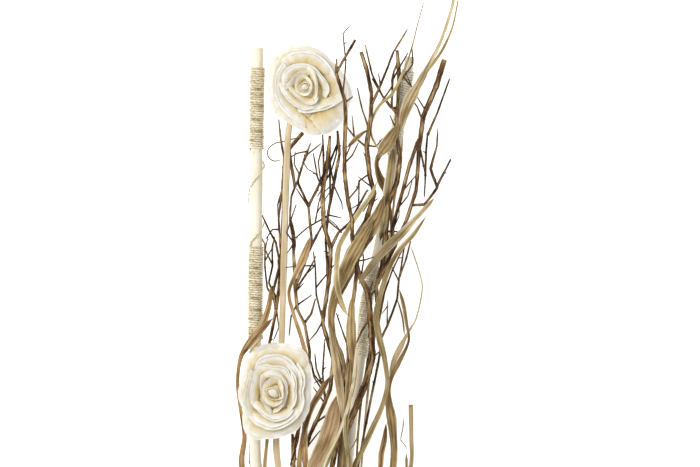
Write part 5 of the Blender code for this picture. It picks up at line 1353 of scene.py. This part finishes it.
ROSE_BOTTOM_PETALS = [
    (8.4, 0.62, 7.0, 2.6, [
        (-28.6, 24), (-25, 33.4), (-19, 41), (-10.6, 45.6), (-3.2, 47.4), (7.4, 47.2), (19, 45.6),
        (27, 41.6), (31.4, 36), (32.4, 27), (30, 18)]),
    (7.6, 0.62, 6.5, 2.4, [
        (-22, 36), (-26, 29), (-29.4, 20.4), (-32, 11.6), (-33.8, 3.2), (-34, -5), (-31, -12), (-27, -18)]),
    (8.0, 0.62, 6.5, 2.4, [
        (30, 36), (33, 29), (35, 18), (35.6, 6.3), (35.2, -5.3), (33.4, -15), (30, -24), (25.6, -31)]),
    (7.8, 0.62, 6.5, 2.4, [
        (-27, -12), (-29.6, -20), (-29.6, -29), (-28, -37), (-24.3, -41.6), (-18.6, -44.6), (-12, -44),
        (-2.1, -43.6), (8.4, -41.7), (16.9, -38.6), (23.2, -33.8), (28, -27), (31, -18)]),
    (12.2, 0.62, 8.6, 0.6, [
        (-22, 24), (-24.6, 19), (-26.4, 11.6), (-28.4, 3.2), (-29, -5.3), (-28.2, -13.7), (-25.6, -21.6),
        (-20, -28)]),
    (12.4, 0.62, 8.8, 0.6, [
        (-20, 14), (-18.6, 22.2), (-17, 29.6), (-12.7, 34.4), (-4.2, 37.2), (5.3, 37.4), (12.7, 34.4),
        (19, 28.5), (23.2, 21.1), (25, 13), (24, 5)]),
    (12.2, 0.62, 8.6, 0.6, [
        (22, 29), (25.3, 25.3), (28.6, 18), (29.4, 9.5), (28, 1), (28.8, -7.4), (27, -15.4), (21.6, -24)]),
    (12.2, 0.62, 8.6, 0.6, [
        (29, -10), (26.6, -17), (21.4, -24.3), (14.8, -29.8), (6.3, -34), (-3.2, -35.6), (-10.6, -33.8),
        (-18, -29.6), (-24, -23.6), (-27, -16)]),
    (15.2, 0.6, 11.6, 0.35, [
        (-12.6, 27), (-18.6, 21.6), (-20.6, 13.7), (-22.4, 6.3), (-23.2, -2.1), (-22.2, -9.5),
        (-18.6, -15)]),
    (15.2, 0.6, 11.6, 0.35, [
        (-18, 22), (-14.6, 26.2), (-8.4, 28), (-1, 26.8), (5.8, 26.4), (12.4, 23.6), (15.4, 16.9),
        (18, 8.4), (18.4, 0)]),
    (15.0, 0.6, 11.4, 0.35, [
        (13, 27), (17, 22), (20.4, 15.8), (21.8, 9.6), (21.2, 3), (21.6, -4), (19.4, -11.6), (14.8, -18)]),
    (15.0, 0.6, 11.4, 0.35, [
        (-23, -4), (-21.4, -9.8), (-16.9, -15.8), (-11.6, -20.9), (-6.1, -25), (1, -27.2), (8.4, -25.7),
        (14.8, -21.9), (19, -16)]),
    (18.0, 0.58, 14.4, 0.35, [
        (-2.1, -20.4), (-7.4, -15.7), (-10.9, -8), (-12.9, 0.6), (-13.8, 9.5), (-12.3, 16.9), (-7.8, 21)]),
    (18.0, 0.58, 14.4, 0.35, [
        (-12, 15), (-9.6, 19.4), (-4.2, 21.7), (2.1, 20.7), (7.4, 17.3), (10.8, 12.9), (12.9, 7.4),
        (13.2, 1), (11.8, -5.5), (9, -11.8), (4.2, -17.1), (-1.4, -19.6)]),
    (20.4, 0.52, 16.8, 0.35, [
        (-11.4, 1), (-10.4, 7.6), (-6.7, 12.4), (-1, 15.8), (4, 15.6), (7.2, 11)]),
    (20.4, 0.52, 16.8, 0.35, [
        (4.4, 15.8), (7.8, 10), (9.6, 3.4), (9.8, -3), (7.4, -9), (2.6, -12.8)]),
    (20.4, 0.52, 16.8, 0.35, [
        (-11, 3), (-10.6, -4), (-8.4, -9), (-3.4, -12.2), (2.1, -12.4), (6.8, -8.8)]),
]
PETAL_COLUMNS, PETAL_ROWS = 30, 13
PETAL_THICK = 0.42
ROLL_FROM = 0.62           # share of a petal's height above which its rim rolls over
LINING = 0.915             # reach of the inner petal against the outer one
# The heart: half length, half width, turn (radians), how pointed, turns of the sheet, how far shut.
TOP_HEART = (6.8, 6.0, 0.3, 0.0, 1.05, 0.12)
BOTTOM_HEART = (10.4, 7.2, -0.5, 0.7, 1.15, 0.05)
HEART_COLUMNS, HEART_ROWS = 70, 9
HEART_FOOT = 12.0          # height of the rolled sheet's foot over the rose's
TIP_SIDES, TIP_ROWS = 24, 10
# The core that carries the petals, from the foot up: height, share of the rose's reach.
ROSE_CORE = [(0.0, 0.30), (0.0, 0.50), (1.2, 0.62), (3.4, 0.72), (5.8, 0.78), (6.6, 0.74), (7.4, 0.60),
             (8.2, 0.48), (10.2, 0.38), (10.9, 0.31), (13.4, 0.24), (16.0, 0.13), (16.4, 0.05)]
CORE_SIDES = 40


def petal(sheaf, centre, base, form, rim_course, rng):
    """One petal: it rises from its root, leans outwards and rolls over at the rim. The rim value
    runs from 0 at the root to 1 at the rim."""
    top, share, root_z, roll = form
    rim = flow([(x, y, 0) for x, y in rim_course], 1.0, 1.0)[:, :2]
    run = spread(rim)
    even = np.linspace(0, run[-1], PETAL_COLUMNS)
    rim = np.stack([np.interp(even, run, rim[:, 0]), np.interp(even, run, rim[:, 1])], axis=1)
    seed, tone = rng.uniform(0, 60), rng.random()

    def skin(i, j):
        u = j / (PETAL_COLUMNS - 1)
        full = 1 - abs(2 * u - 1) ** 3.2
        s = 1 - (1 - i / (PETAL_ROWS - 1)) * (0.4 + 0.6 * full)
        x, y = rim[j]
        inward = share + (1 - share) * s
        flute = 1 + 0.02 * s * wobble(even[j] * 0.16, seed, 1)
        z = base + root_z + (top - root_z) * s ** 1.15 * (0.55 + 0.45 * full)
        z -= roll * max(0.0, (s - ROLL_FROM) / (1 - ROLL_FROM)) ** 2
        z -= (1 - full) * 1.6 * s
        z += 0.7 * s * wobble(even[j] * 0.12, seed, 5)
        z += 0.25 * wobble(x * inward * 0.2, y * inward * 0.2, seed)
        # the rim value s gives painted shade at the root and a painted highlight at the rim
        return ((centre[0] + x * inward * flute, centre[1] + y * inward * flute, z),
                (even[j], 0.0, math.hypot(x, y) * inward), s)

    sheaf.sheet(cells_of(PETAL_ROWS, PETAL_COLUMNS, skin), PETAL_THICK, tone)


def heart(sheaf, centre, base, form, rng):
    """The closed bud: a rolled sheet whose turns open slightly, over a small rounded tip."""
    long, wide, turn, point, turns, shut = form

    def placed(x, y, z):
        return (centre[0] + x * math.cos(turn) - y * math.sin(turn),
                centre[1] + x * math.sin(turn) + y * math.cos(turn), z)

    def rolled(k, i):
        t, s = k / (HEART_COLUMNS - 1), i / (HEART_ROWS - 1)
        a = 2 * math.pi * turns * t
        r = 1 - 0.36 * turns * (1 - t)
        close_in = 1 - shut * s ** 3
        x = long * r * close_in * math.cos(a)
        y = wide * r * close_in * math.sin(a) * abs(math.sin(a)) ** point
        z = base + HEART_FOOT + (9.0 + 1.4 * (1 - t)) * s
        # the rim value gives painted shade: honey low in the roll, paler at its top
        return placed(x, y, z), (t * 40, 0.0, s * 14), 0.35 + 0.6 * s

    def tip(i, j):
        lat = math.pi / 2 * i / (TIP_ROWS - 1)
        a = 2 * math.pi * j / TIP_SIDES
        bump = 1 + 0.05 * math.cos(3 * a + 4 * lat)
        x = long * 0.66 * math.cos(lat) * math.cos(a) * bump - long * 0.16
        y = wide * 0.66 * math.cos(lat) * math.sin(a) * bump * abs(math.sin(a)) ** point
        return placed(x, y, base + 17.0 + 4.6 * math.sin(lat)), (x, y, lat * 4), 0.8

    sheaf.sheet(cells_of(HEART_COLUMNS, HEART_ROWS, rolled), 0.5, rng.random())
    first = sheaf.add(cells_of(TIP_ROWS, TIP_SIDES, tip), 0.4)
    sheaf.cap(first, TIP_SIDES, 0, False)


def rose_piece(name, petals, heart_form):
    """A rose: cut petals round a rolled heart, on a shallow closed cup of the same sheet."""
    rng = random.Random(name)
    centre, base, outline = ROSES[name]
    sheaf = Sheaf()
    for top, share, root_z, roll, rim in petals:
        petal(sheaf, centre, base, (top, share, root_z, roll), rim, rng)
        # every petal has a second, narrower one close inside it
        inner = [(x * LINING, y * LINING) for x, y in rim[1:-1]]
        form = (top + 0.7, min(0.9, share / LINING), root_z + 0.9, roll * 0.6)
        petal(sheaf, centre, base, form, inner, rng)
    heart(sheaf, centre, base, heart_form, rng)
    polar = sorted((math.atan2(y - centre[1], x - centre[0]), math.hypot(x - centre[0], y - centre[1]))
                   for x, y in outline)
    angles, reaches = zip(*polar)

    def cup(k, j):
        z, share = ROSE_CORE[k]
        a = -math.pi + 2 * math.pi * j / CORE_SIDES
        r = np.interp(a, angles, reaches, period=2 * math.pi) * share
        x, y = r * math.cos(a), r * math.sin(a)
        # the rim value 0.34 gives the cup the honey colour of painted shade
        return (centre[0] + x, centre[1] + y, base + z), (x, y, z), 0.34

    sheaf.tube(cells_of(len(ROSE_CORE), CORE_SIDES, cup), 0.5)
    return sheaf.piece(name + "_petals", [pith_sheet()], name)


# Materials: each one is made once, the first time that a piece asks for it

def linear(code):
    """An sRGB hex colour as the linear values a shader takes."""
    out = []
    for i in (1, 3, 5):
        c = int(code[i:i + 2], 16) / 255
        out.append(c / 12.92 if c <= 0.04045 else ((c + 0.055) / 1.055) ** 2.4)
    return (*out, 1.0)


def node(mat, kind, inputs=None, stops=None, **settings):
    """Add one shader node: settings are its own choices, inputs are values or (node, output)."""
    made = mat.node_tree.nodes.new(kind)
    for key, value in settings.items():
        setattr(made, key, value)
    for key, value in (inputs or {}).items():
        if isinstance(value, tuple) and hasattr(value[0], "outputs"):
            mat.node_tree.links.new(value[0].outputs[value[1]], made.inputs[key])
        else:
            made.inputs[key].default_value = value
    if stops:
        ramp = made.color_ramp
        while len(ramp.elements) < len(stops):
            ramp.elements.new(0.5)
        for element, (at, code) in zip(ramp.elements, stops):
            element.position = at
            element.color = linear(code)
    return made


def start(name):
    """A new material without nodes."""
    mat = bpy.data.materials.new(name)
    mat.use_nodes = True
    mat.node_tree.nodes.clear()
    return mat


def streaks(mat, lay, scale, detail, roughness=0.5):
    """Noise in the piece's own directions: scale is how fast it changes, per mm across, deep and
    along the fibre."""
    drawn = node(mat, "ShaderNodeMapping", {"Vector": (lay, "Vector"), "Scale": scale})
    made = node(mat, "ShaderNodeTexNoise", {"Vector": (drawn, "Vector"), "Scale": 1.0, "Detail": detail,
                                            "Roughness": roughness})
    return made, "Fac"


def close(mat, colour, relief, rough, bump, specular=0.5):
    """The shader and its output. The relief makes the bump (strength, depth in mm). Of two values of
    rough, the first is for the low places of the relief and the second for the high ones."""
    if isinstance(rough, tuple):
        low, high = rough
        spread_rough = node(mat, "ShaderNodeMapRange", {"Value": relief, "To Min": low, "To Max": high})
        rough = (spread_rough, "Result")
    strength, depth = bump
    uneven = node(mat, "ShaderNodeBump", {"Height": relief, "Strength": strength, "Distance": depth * MM})
    shader = node(mat, "ShaderNodeBsdfPrincipled", {"Base Color": colour, "Roughness": rough,
                                                    "Normal": (uneven, "Normal"),
                                                    "Specular IOR Level": specular})
    node(mat, "ShaderNodeOutputMaterial", {"Surface": (shader, "BSDF")})
    return mat


@cache
def peeled_willow():
    """Willow rod, bark peeled off and dried: creamy, with fine grain along it and a few bud scars."""
    mat = start("peeled_willow")
    lay = node(mat, "ShaderNodeAttribute", attribute_name="lay")
    # grain lines about 0.8 mm apart and 25 mm long
    grain = streaks(mat, lay, (1.2, 1.2, 0.04), 5.0, 0.6)
    cloud = streaks(mat, lay, (0.10, 0.10, 0.022), 2.0)
    both = node(mat, "ShaderNodeMath", {0: grain, 1: cloud}, operation="ADD")
    half = node(mat, "ShaderNodeMath", {0: (both, "Value"), 1: 0.5}, operation="MULTIPLY")
    colour = node(mat, "ShaderNodeValToRGB", {"Fac": (half, "Value")},
                  stops=[(0.30, "#CDBF9A"), (0.42, "#E6DDC2"), (0.52, "#F0EAD6"), (0.66, "#F7F3E6")])
    # bud scars: small brown flecks, a few in ten centimetres
    scar_lay = node(mat, "ShaderNodeMapping", {"Vector": (lay, "Vector"), "Scale": (0.22, 0.22, 0.055)})
    scar = node(mat, "ShaderNodeTexVoronoi", {"Vector": (scar_lay, "Vector"), "Scale": 1.0})
    spot = node(mat, "ShaderNodeMapRange", {"Value": (scar, "Distance"), "From Min": 0.06, "From Max": 0.14,
                                            "To Min": 0.75, "To Max": 0.0})
    tint = node(mat, "ShaderNodeMix", {"Factor": (spot, "Result"), "A": (colour, "Color"),
                                       "B": linear("#A58A5C")}, data_type="RGBA")
    return close(mat, (tint, "Result"), grain, rough=(0.62, 0.44), bump=(0.35, 0.3), specular=0.4)


@cache
def sawn_end():
    """Sawn end grain: browner than the side, with faint rings and specks; dull."""
    mat = start("sawn_end")
    lay = node(mat, "ShaderNodeAttribute", attribute_name="lay")
    flat = node(mat, "ShaderNodeMapping", {"Vector": (lay, "Vector"), "Scale": (1, 1, 0)})
    # year rings about 0.9 mm apart
    rings = node(mat, "ShaderNodeTexWave", {"Vector": (flat, "Vector"), "Scale": 0.35, "Distortion": 1.2,
                                            "Detail": 2.0}, wave_type="RINGS", rings_direction="Z")
    speck = node(mat, "ShaderNodeTexNoise", {"Vector": (flat, "Vector"), "Scale": 2.2, "Detail": 3.0})
    both = node(mat, "ShaderNodeMath", {0: (rings, "Fac"), 1: (speck, "Fac")}, operation="MULTIPLY")
    colour = node(mat, "ShaderNodeValToRGB", {"Fac": (both, "Value")},
                  stops=[(0.1, "#A8895A"), (0.4, "#C3A87A"), (0.7, "#DCC9A2")])
    return close(mat, (colour, "Color"), (speck, "Fac"), rough=0.78, bump=(0.4, 0.3))


@cache
def sisal_twine():
    """Two-ply sisal, spun and unbleached: straw-pale fibres, darker in the furrows, dull."""
    mat = start("sisal_twine")
    lay = node(mat, "ShaderNodeAttribute", attribute_name="lay")
    tone = node(mat, "ShaderNodeAttribute", attribute_name="tone")
    # single fibres are 0.25 mm wide, drawn at 0.6 mm so that they show
    fibre = streaks(mat, lay, (1.6, 1.6, 0.42), 4.0, 0.65)
    patch = streaks(mat, lay, (0.3, 0.3, 0.045), 2.0)
    shift = node(mat, "ShaderNodeMath", {0: (tone, "Fac"), 1: 0.16, 2: patch}, operation="MULTIPLY_ADD")
    mix = node(mat, "ShaderNodeMath", {0: fibre, 1: (shift, "Value")}, operation="ADD")
    half = node(mat, "ShaderNodeMath", {0: (mix, "Value"), 1: 0.5}, operation="MULTIPLY")
    colour = node(mat, "ShaderNodeValToRGB", {"Fac": (half, "Value")},
                  stops=[(0.40, "#7D6840"), (0.47, "#C2B085"), (0.53, "#E2D6B4"), (0.62, "#F4EEDA")])
    return close(mat, (colour, "Color"), fibre, rough=(0.95, 0.78), bump=(0.5, 0.3), specular=0.25)


@cache
def split_cane():
    """Split cane, the hard skin left on: pale tan with fine pores drawn out along it, satin."""
    mat = start("split_cane")
    lay = node(mat, "ShaderNodeAttribute", attribute_name="lay")
    tone = node(mat, "ShaderNodeAttribute", attribute_name="tone")
    # vessel lines about 0.5 mm apart
    lines = streaks(mat, lay, (2.0, 2.0, 0.02), 4.0)
    cloud = streaks(mat, lay, (0.3, 0.3, 0.03), 2.0)
    aged = node(mat, "ShaderNodeMath", {0: (tone, "Fac"), 1: 0.45, 2: cloud}, operation="MULTIPLY_ADD")
    both = node(mat, "ShaderNodeMath", {0: lines, 1: (aged, "Value")}, operation="ADD")
    less = node(mat, "ShaderNodeMath", {0: (both, "Value"), 1: 0.40}, operation="MULTIPLY")
    colour = node(mat, "ShaderNodeValToRGB", {"Fac": (less, "Value")},
                  stops=[(0.34, "#9A825B"), (0.45, "#C2AA80"), (0.55, "#D7C39D"), (0.66, "#EADDC2")])
    return close(mat, (colour, "Color"), lines, rough=(0.62, 0.42), bump=(0.5, 0.3), specular=0.4)


@cache
def dried_twig_bark():
    """Dried shrub twig, bark on: dark brown, rubbed tan in streaks, wrinkled lengthwise, with painted light
    making its upper side tan.
    """
    mat = start("dried_twig_bark")
    lay = node(mat, "ShaderNodeAttribute", attribute_name="lay")
    tone = node(mat, "ShaderNodeAttribute", attribute_name="tone")
    # wrinkles about 0.4 mm apart, drawn at 0.7 mm so that they show
    wrinkle = streaks(mat, lay, (1.5, 1.5, 0.16), 5.0, 0.62)
    rub = streaks(mat, lay, (0.42, 0.42, 0.05), 3.0)
    # here rubbed to tan, there near black, over 20 to 40 mm of the twig
    worn = node(mat, "ShaderNodeMapRange", {"Value": rub, "From Min": 0.34, "From Max": 0.66,
                                            "To Min": 0.20, "To Max": 0.76})
    shift = node(mat, "ShaderNodeMath", {0: (tone, "Fac"), 1: 0.20, 2: (worn, "Result")},
                 operation="MULTIPLY_ADD")
    both = node(mat, "ShaderNodeMath", {0: wrinkle, 1: (shift, "Value")}, operation="ADD")
    # painted light: each twig's upper side is painted tan and its flanks are left dark, as the light from
    # above falls on them
    crown = node(mat, "ShaderNodeAttribute", attribute_name="rim")
    painted_top_light = node(mat, "ShaderNodeMapRange", {"Value": (crown, "Fac"), "From Min": 0.60, "From Max": 0.97,
                                              "To Min": 0.0, "To Max": 0.25})
    bark_and_top_light = node(mat, "ShaderNodeMath", {0: (both, "Value"), 1: (painted_top_light, "Result")}, operation="ADD")
    half = node(mat, "ShaderNodeMath", {0: (bark_and_top_light, "Value"), 1: 0.5}, operation="MULTIPLY")
    colour = node(mat, "ShaderNodeValToRGB", {"Fac": (half, "Value")},
                  stops=[(0.46, "#1C110A"), (0.56, "#3A2612"), (0.65, "#684926"), (0.73, "#9A774A"),
                         (0.83, "#CBB182")])
    return close(mat, (colour, "Color"), wrinkle, rough=(0.9, 0.6), bump=(0.5, 0.4), specular=0.3)


@cache
def snapped_wood():
    """The broken end of a twig: splintery pale wood."""
    mat = start("snapped_wood")
    lay = node(mat, "ShaderNodeAttribute", attribute_name="lay")
    splinter = node(mat, "ShaderNodeTexNoise", {"Vector": (lay, "Vector"), "Scale": 2.6, "Detail": 4.0})
    colour = node(mat, "ShaderNodeValToRGB", {"Fac": (splinter, "Fac")},
                  stops=[(0.3, "#6F5230"), (0.5, "#A98A5C"), (0.7, "#CDB588")])
    return close(mat, (colour, "Color"), (splinter, "Fac"), rough=0.85, bump=(0.8, 0.5))


@cache
def dry_blade(name, dark, low, high, light):
    """Dried palm-like blade: parallel veins, blotched where it aged, bleached along its edges."""
    mat = start(name)
    lay = node(mat, "ShaderNodeAttribute", attribute_name="lay")
    tone = node(mat, "ShaderNodeAttribute", attribute_name="tone")
    rim = node(mat, "ShaderNodeAttribute", attribute_name="rim")
    # veins run the whole length, about 0.8 mm apart
    veins = streaks(mat, lay, (1.5, 1.0, 0.012), 5.0, 0.7)
    blotch = streaks(mat, lay, (0.16, 1.0, 0.028), 3.0)
    both = node(mat, "ShaderNodeMath", {0: veins, 1: blotch}, operation="ADD")
    aged = node(mat, "ShaderNodeMath", {0: (tone, "Fac"), 1: 0.14, 2: (both, "Value")},
                operation="MULTIPLY_ADD")
    less = node(mat, "ShaderNodeMath", {0: (aged, "Value"), 1: 0.48}, operation="MULTIPLY")
    colour = node(mat, "ShaderNodeValToRGB", {"Fac": (less, "Value")},
                  stops=[(0.44, dark), (0.50, low), (0.56, high), (0.63, light)])
    edge = node(mat, "ShaderNodeMapRange", {"Value": (rim, "Fac"), "From Min": 0.74, "From Max": 0.94,
                                            "To Min": 0.0, "To Max": 1.3})
    worn = node(mat, "ShaderNodeMath", {0: (edge, "Result"), 1: blotch}, operation="MULTIPLY")
    tint = node(mat, "ShaderNodeMix", {"Factor": (worn, "Value"), "A": (colour, "Color"), "B": linear(light)},
                data_type="RGBA")
    return close(mat, (tint, "Result"), veins, rough=(0.72, 0.5), bump=(0.7, 0.5), specular=0.35)


@cache
def pith_sheet():
    """Shaved shola pith: soft ivory, chalky, faint shaving lines; painted shade makes it honey-coloured deep
    between petals, and a painted highlight makes the rims brightest.
    """
    mat = start("pith_sheet")
    lay = node(mat, "ShaderNodeAttribute", attribute_name="lay")
    rim = node(mat, "ShaderNodeAttribute", attribute_name="rim")
    tone = node(mat, "ShaderNodeAttribute", attribute_name="tone")
    # shaving lines about 1 mm apart across the petal
    shave = streaks(mat, lay, (0.10, 0.5, 0.9), 4.0)
    cloud = streaks(mat, lay, (0.09, 0.3, 0.12), 2.0)
    # painted shade and highlight: the rim value darkens the sheet to honey towards the roots, deep between
    # the petals, and brightens it at the rims
    cloud_and_painted_shade = node(mat, "ShaderNodeMath", {0: cloud, 1: 1.0, 2: (rim, "Fac")}, operation="MULTIPLY_ADD")
    lined = node(mat, "ShaderNodeMath", {0: shave, 1: 0.16, 2: (cloud_and_painted_shade, "Value")}, operation="MULTIPLY_ADD")
    aged = node(mat, "ShaderNodeMath", {0: (tone, "Fac"), 1: 0.12, 2: (lined, "Value")},
                operation="MULTIPLY_ADD")
    half = node(mat, "ShaderNodeMath", {0: (aged, "Value"), 1: 0.5}, operation="MULTIPLY")
    colour = node(mat, "ShaderNodeValToRGB", {"Fac": (half, "Value")},
                  stops=[(0.26, "#BE9650"), (0.40, "#D8BE82"), (0.54, "#E4D4A9"), (0.67, "#EAE0C7"),
                         (0.76, "#EDE8DB"), (0.83, "#F9F7F0")])
    return close(mat, (colour, "Color"), shave, rough=(0.92, 0.74), bump=(0.3, 0.4), specular=0.3)


# The four colours of each kind of blade, from its dark blotches to its bleached edge.
BLADE_TINTS = {
    "cream": ("#A58F5C", "#D2C08F", "#E9DDB8", "#F6F0DA"),
    "caramel": ("#543B20", "#8E6C42", "#BC9966", "#E2CA9C"),
    "straw": ("#836A42", "#B7A075", "#D6C298", "#F0E6CA"),
    "leaf_tan": ("#54401F", "#896E42", "#AF9464", "#D6C193"),
    "leaf_khaki": ("#544421", "#877144", "#AC9666", "#D2BF92"),
    "leaf_pale": ("#8A7344", "#B9A26C", "#D6C493", "#EBDFB8"),
    "leaf_pink": ("#7A5F3C", "#A78860", "#C3A67C", "#E0CCA6"),
}


# The bunch, the table and the studio

def dress():
    """Every piece of the bunch, each in the place of its CAD node or, for the strands, beside it."""
    chains = grow_chains()
    settle_heights(chains)
    groups = {}
    for chain in chains:
        groups.setdefault(chain.group, []).append(chain)
    strands = grow_fine(groups, chains)
    spray, number, foot = STRAIGHT_SHOOT
    groups[spray][number].xy[0] = foot
    for spray, number, share in SHORT_SHOOTS:
        shorten(groups[spray][number], share)
    for name in SPRAYS:
        twig_piece(name, groups[name])
    for name, (_, slot, tint, _, _) in LEAVES.items():
        blade_piece(name, groups[name][0], AGED.get(name, tint), slot is None, name)
    for chain, slot, finish in strands:
        blade_piece(chain.group, chain, finish, True)
    for name, (half, *_) in RIGID.items():
        make = stick_piece if name.startswith("peeled") else strip_piece
        make(name, groups[name][0], half)
    for name, (host, low, high) in WRAPS.items():
        wound_piece(name, groups[host][0], RIGID[host][0], low, high)
    tie_piece()
    rose_piece("rose_top", ROSE_TOP_PETALS, TOP_HEART)
    rose_piece("rose_bottom", ROSE_BOTTOM_PETALS, BOTTOM_HEART)


FLOOR_HALF = 6.0                   # m from the middle of the floor to its sides
FLOOR_Z = -0.0004                  # just under the bunch


def light_table():
    """A plain white floor that glows a little, so the ground stays white between the stems."""
    mesh = bpy.data.meshes.new("floor")
    corners = [(-FLOOR_HALF, -FLOOR_HALF, FLOOR_Z), (FLOOR_HALF, -FLOOR_HALF, FLOOR_Z),
               (FLOOR_HALF, FLOOR_HALF, FLOOR_Z), (-FLOOR_HALF, FLOOR_HALF, FLOOR_Z)]
    mesh.from_pydata(corners, [], [(0, 1, 2, 3)])
    floor = bpy.data.objects.new("floor", mesh)
    bpy.context.scene.collection.objects.link(floor)
    mat = start("opal_floor")
    shader = node(mat, "ShaderNodeBsdfPrincipled",
                  {"Base Color": linear("#F6F6F4"), "Roughness": 0.9, "Emission Color": linear("#FFFFFF"),
                   "Emission Strength": 0.62})
    node(mat, "ShaderNodeOutputMaterial", {"Surface": (shader, "BSDF")})
    mesh.materials.append(mat)


# Soft boxes: name, place, side (m), power (W). Both are aimed at the middle of the bunch.
SOFT_BOXES = [("softbox_left", (-1.5, 1.2, 1.9), 1.3, 46), ("softbox_right", (1.7, 0.1, 1.7), 1.4, 8)]
LIT_PLACE = (0, 0.35, 0.03)
AIR_STRENGTH = 0.5                 # even light from all round


def soft_light(name, place, side, power):
    """A large soft box aimed at the bunch."""
    lamp = bpy.data.lights.new(name, "AREA")
    lamp.shape = "SQUARE"
    lamp.size = side
    lamp.energy = power
    obj = bpy.data.objects.new(name, lamp)
    obj.location = place
    obj.rotation_euler = (Vector(LIT_PLACE) - Vector(place)).to_track_quat("-Z", "Y").to_euler()
    bpy.context.scene.collection.objects.link(obj)


VIEW_CENTRE = (0.027, 0.4232)      # the photograph's middle, in the bunch's frame
VIEW_HEIGHT = 5.05                 # m above the floor
SHARP_HEIGHT = 0.05                # the height above the floor at which the field is measured
FIELD_WIDTH = 0.665                # m across the picture there
FILM_WIDTH = 36.0                  # mm


def studio():
    """The floor, the soft light and the camera straight above, as in the photograph."""
    light_table()
    for box in SOFT_BOXES:
        soft_light(*box)
    world = bpy.data.worlds.new("studio_air")
    world.use_nodes = True
    sky = world.node_tree.nodes["Background"]
    sky.inputs["Color"].default_value = linear("#FFFFFF")
    sky.inputs["Strength"].default_value = AIR_STRENGTH
    bpy.context.scene.world = world
    lens = bpy.data.cameras.new("camera")
    lens.sensor_width = FILM_WIDTH
    lens.lens = FILM_WIDTH * (VIEW_HEIGHT - SHARP_HEIGHT) / FIELD_WIDTH
    lens.clip_end = 30.0
    camera = bpy.data.objects.new("camera", lens)
    camera.location = (*VIEW_CENTRE, VIEW_HEIGHT)
    bpy.context.scene.collection.objects.link(camera)
    bpy.context.scene.camera = camera
    bpy.context.scene.view_settings.view_transform = "Standard"


dress()
studio()
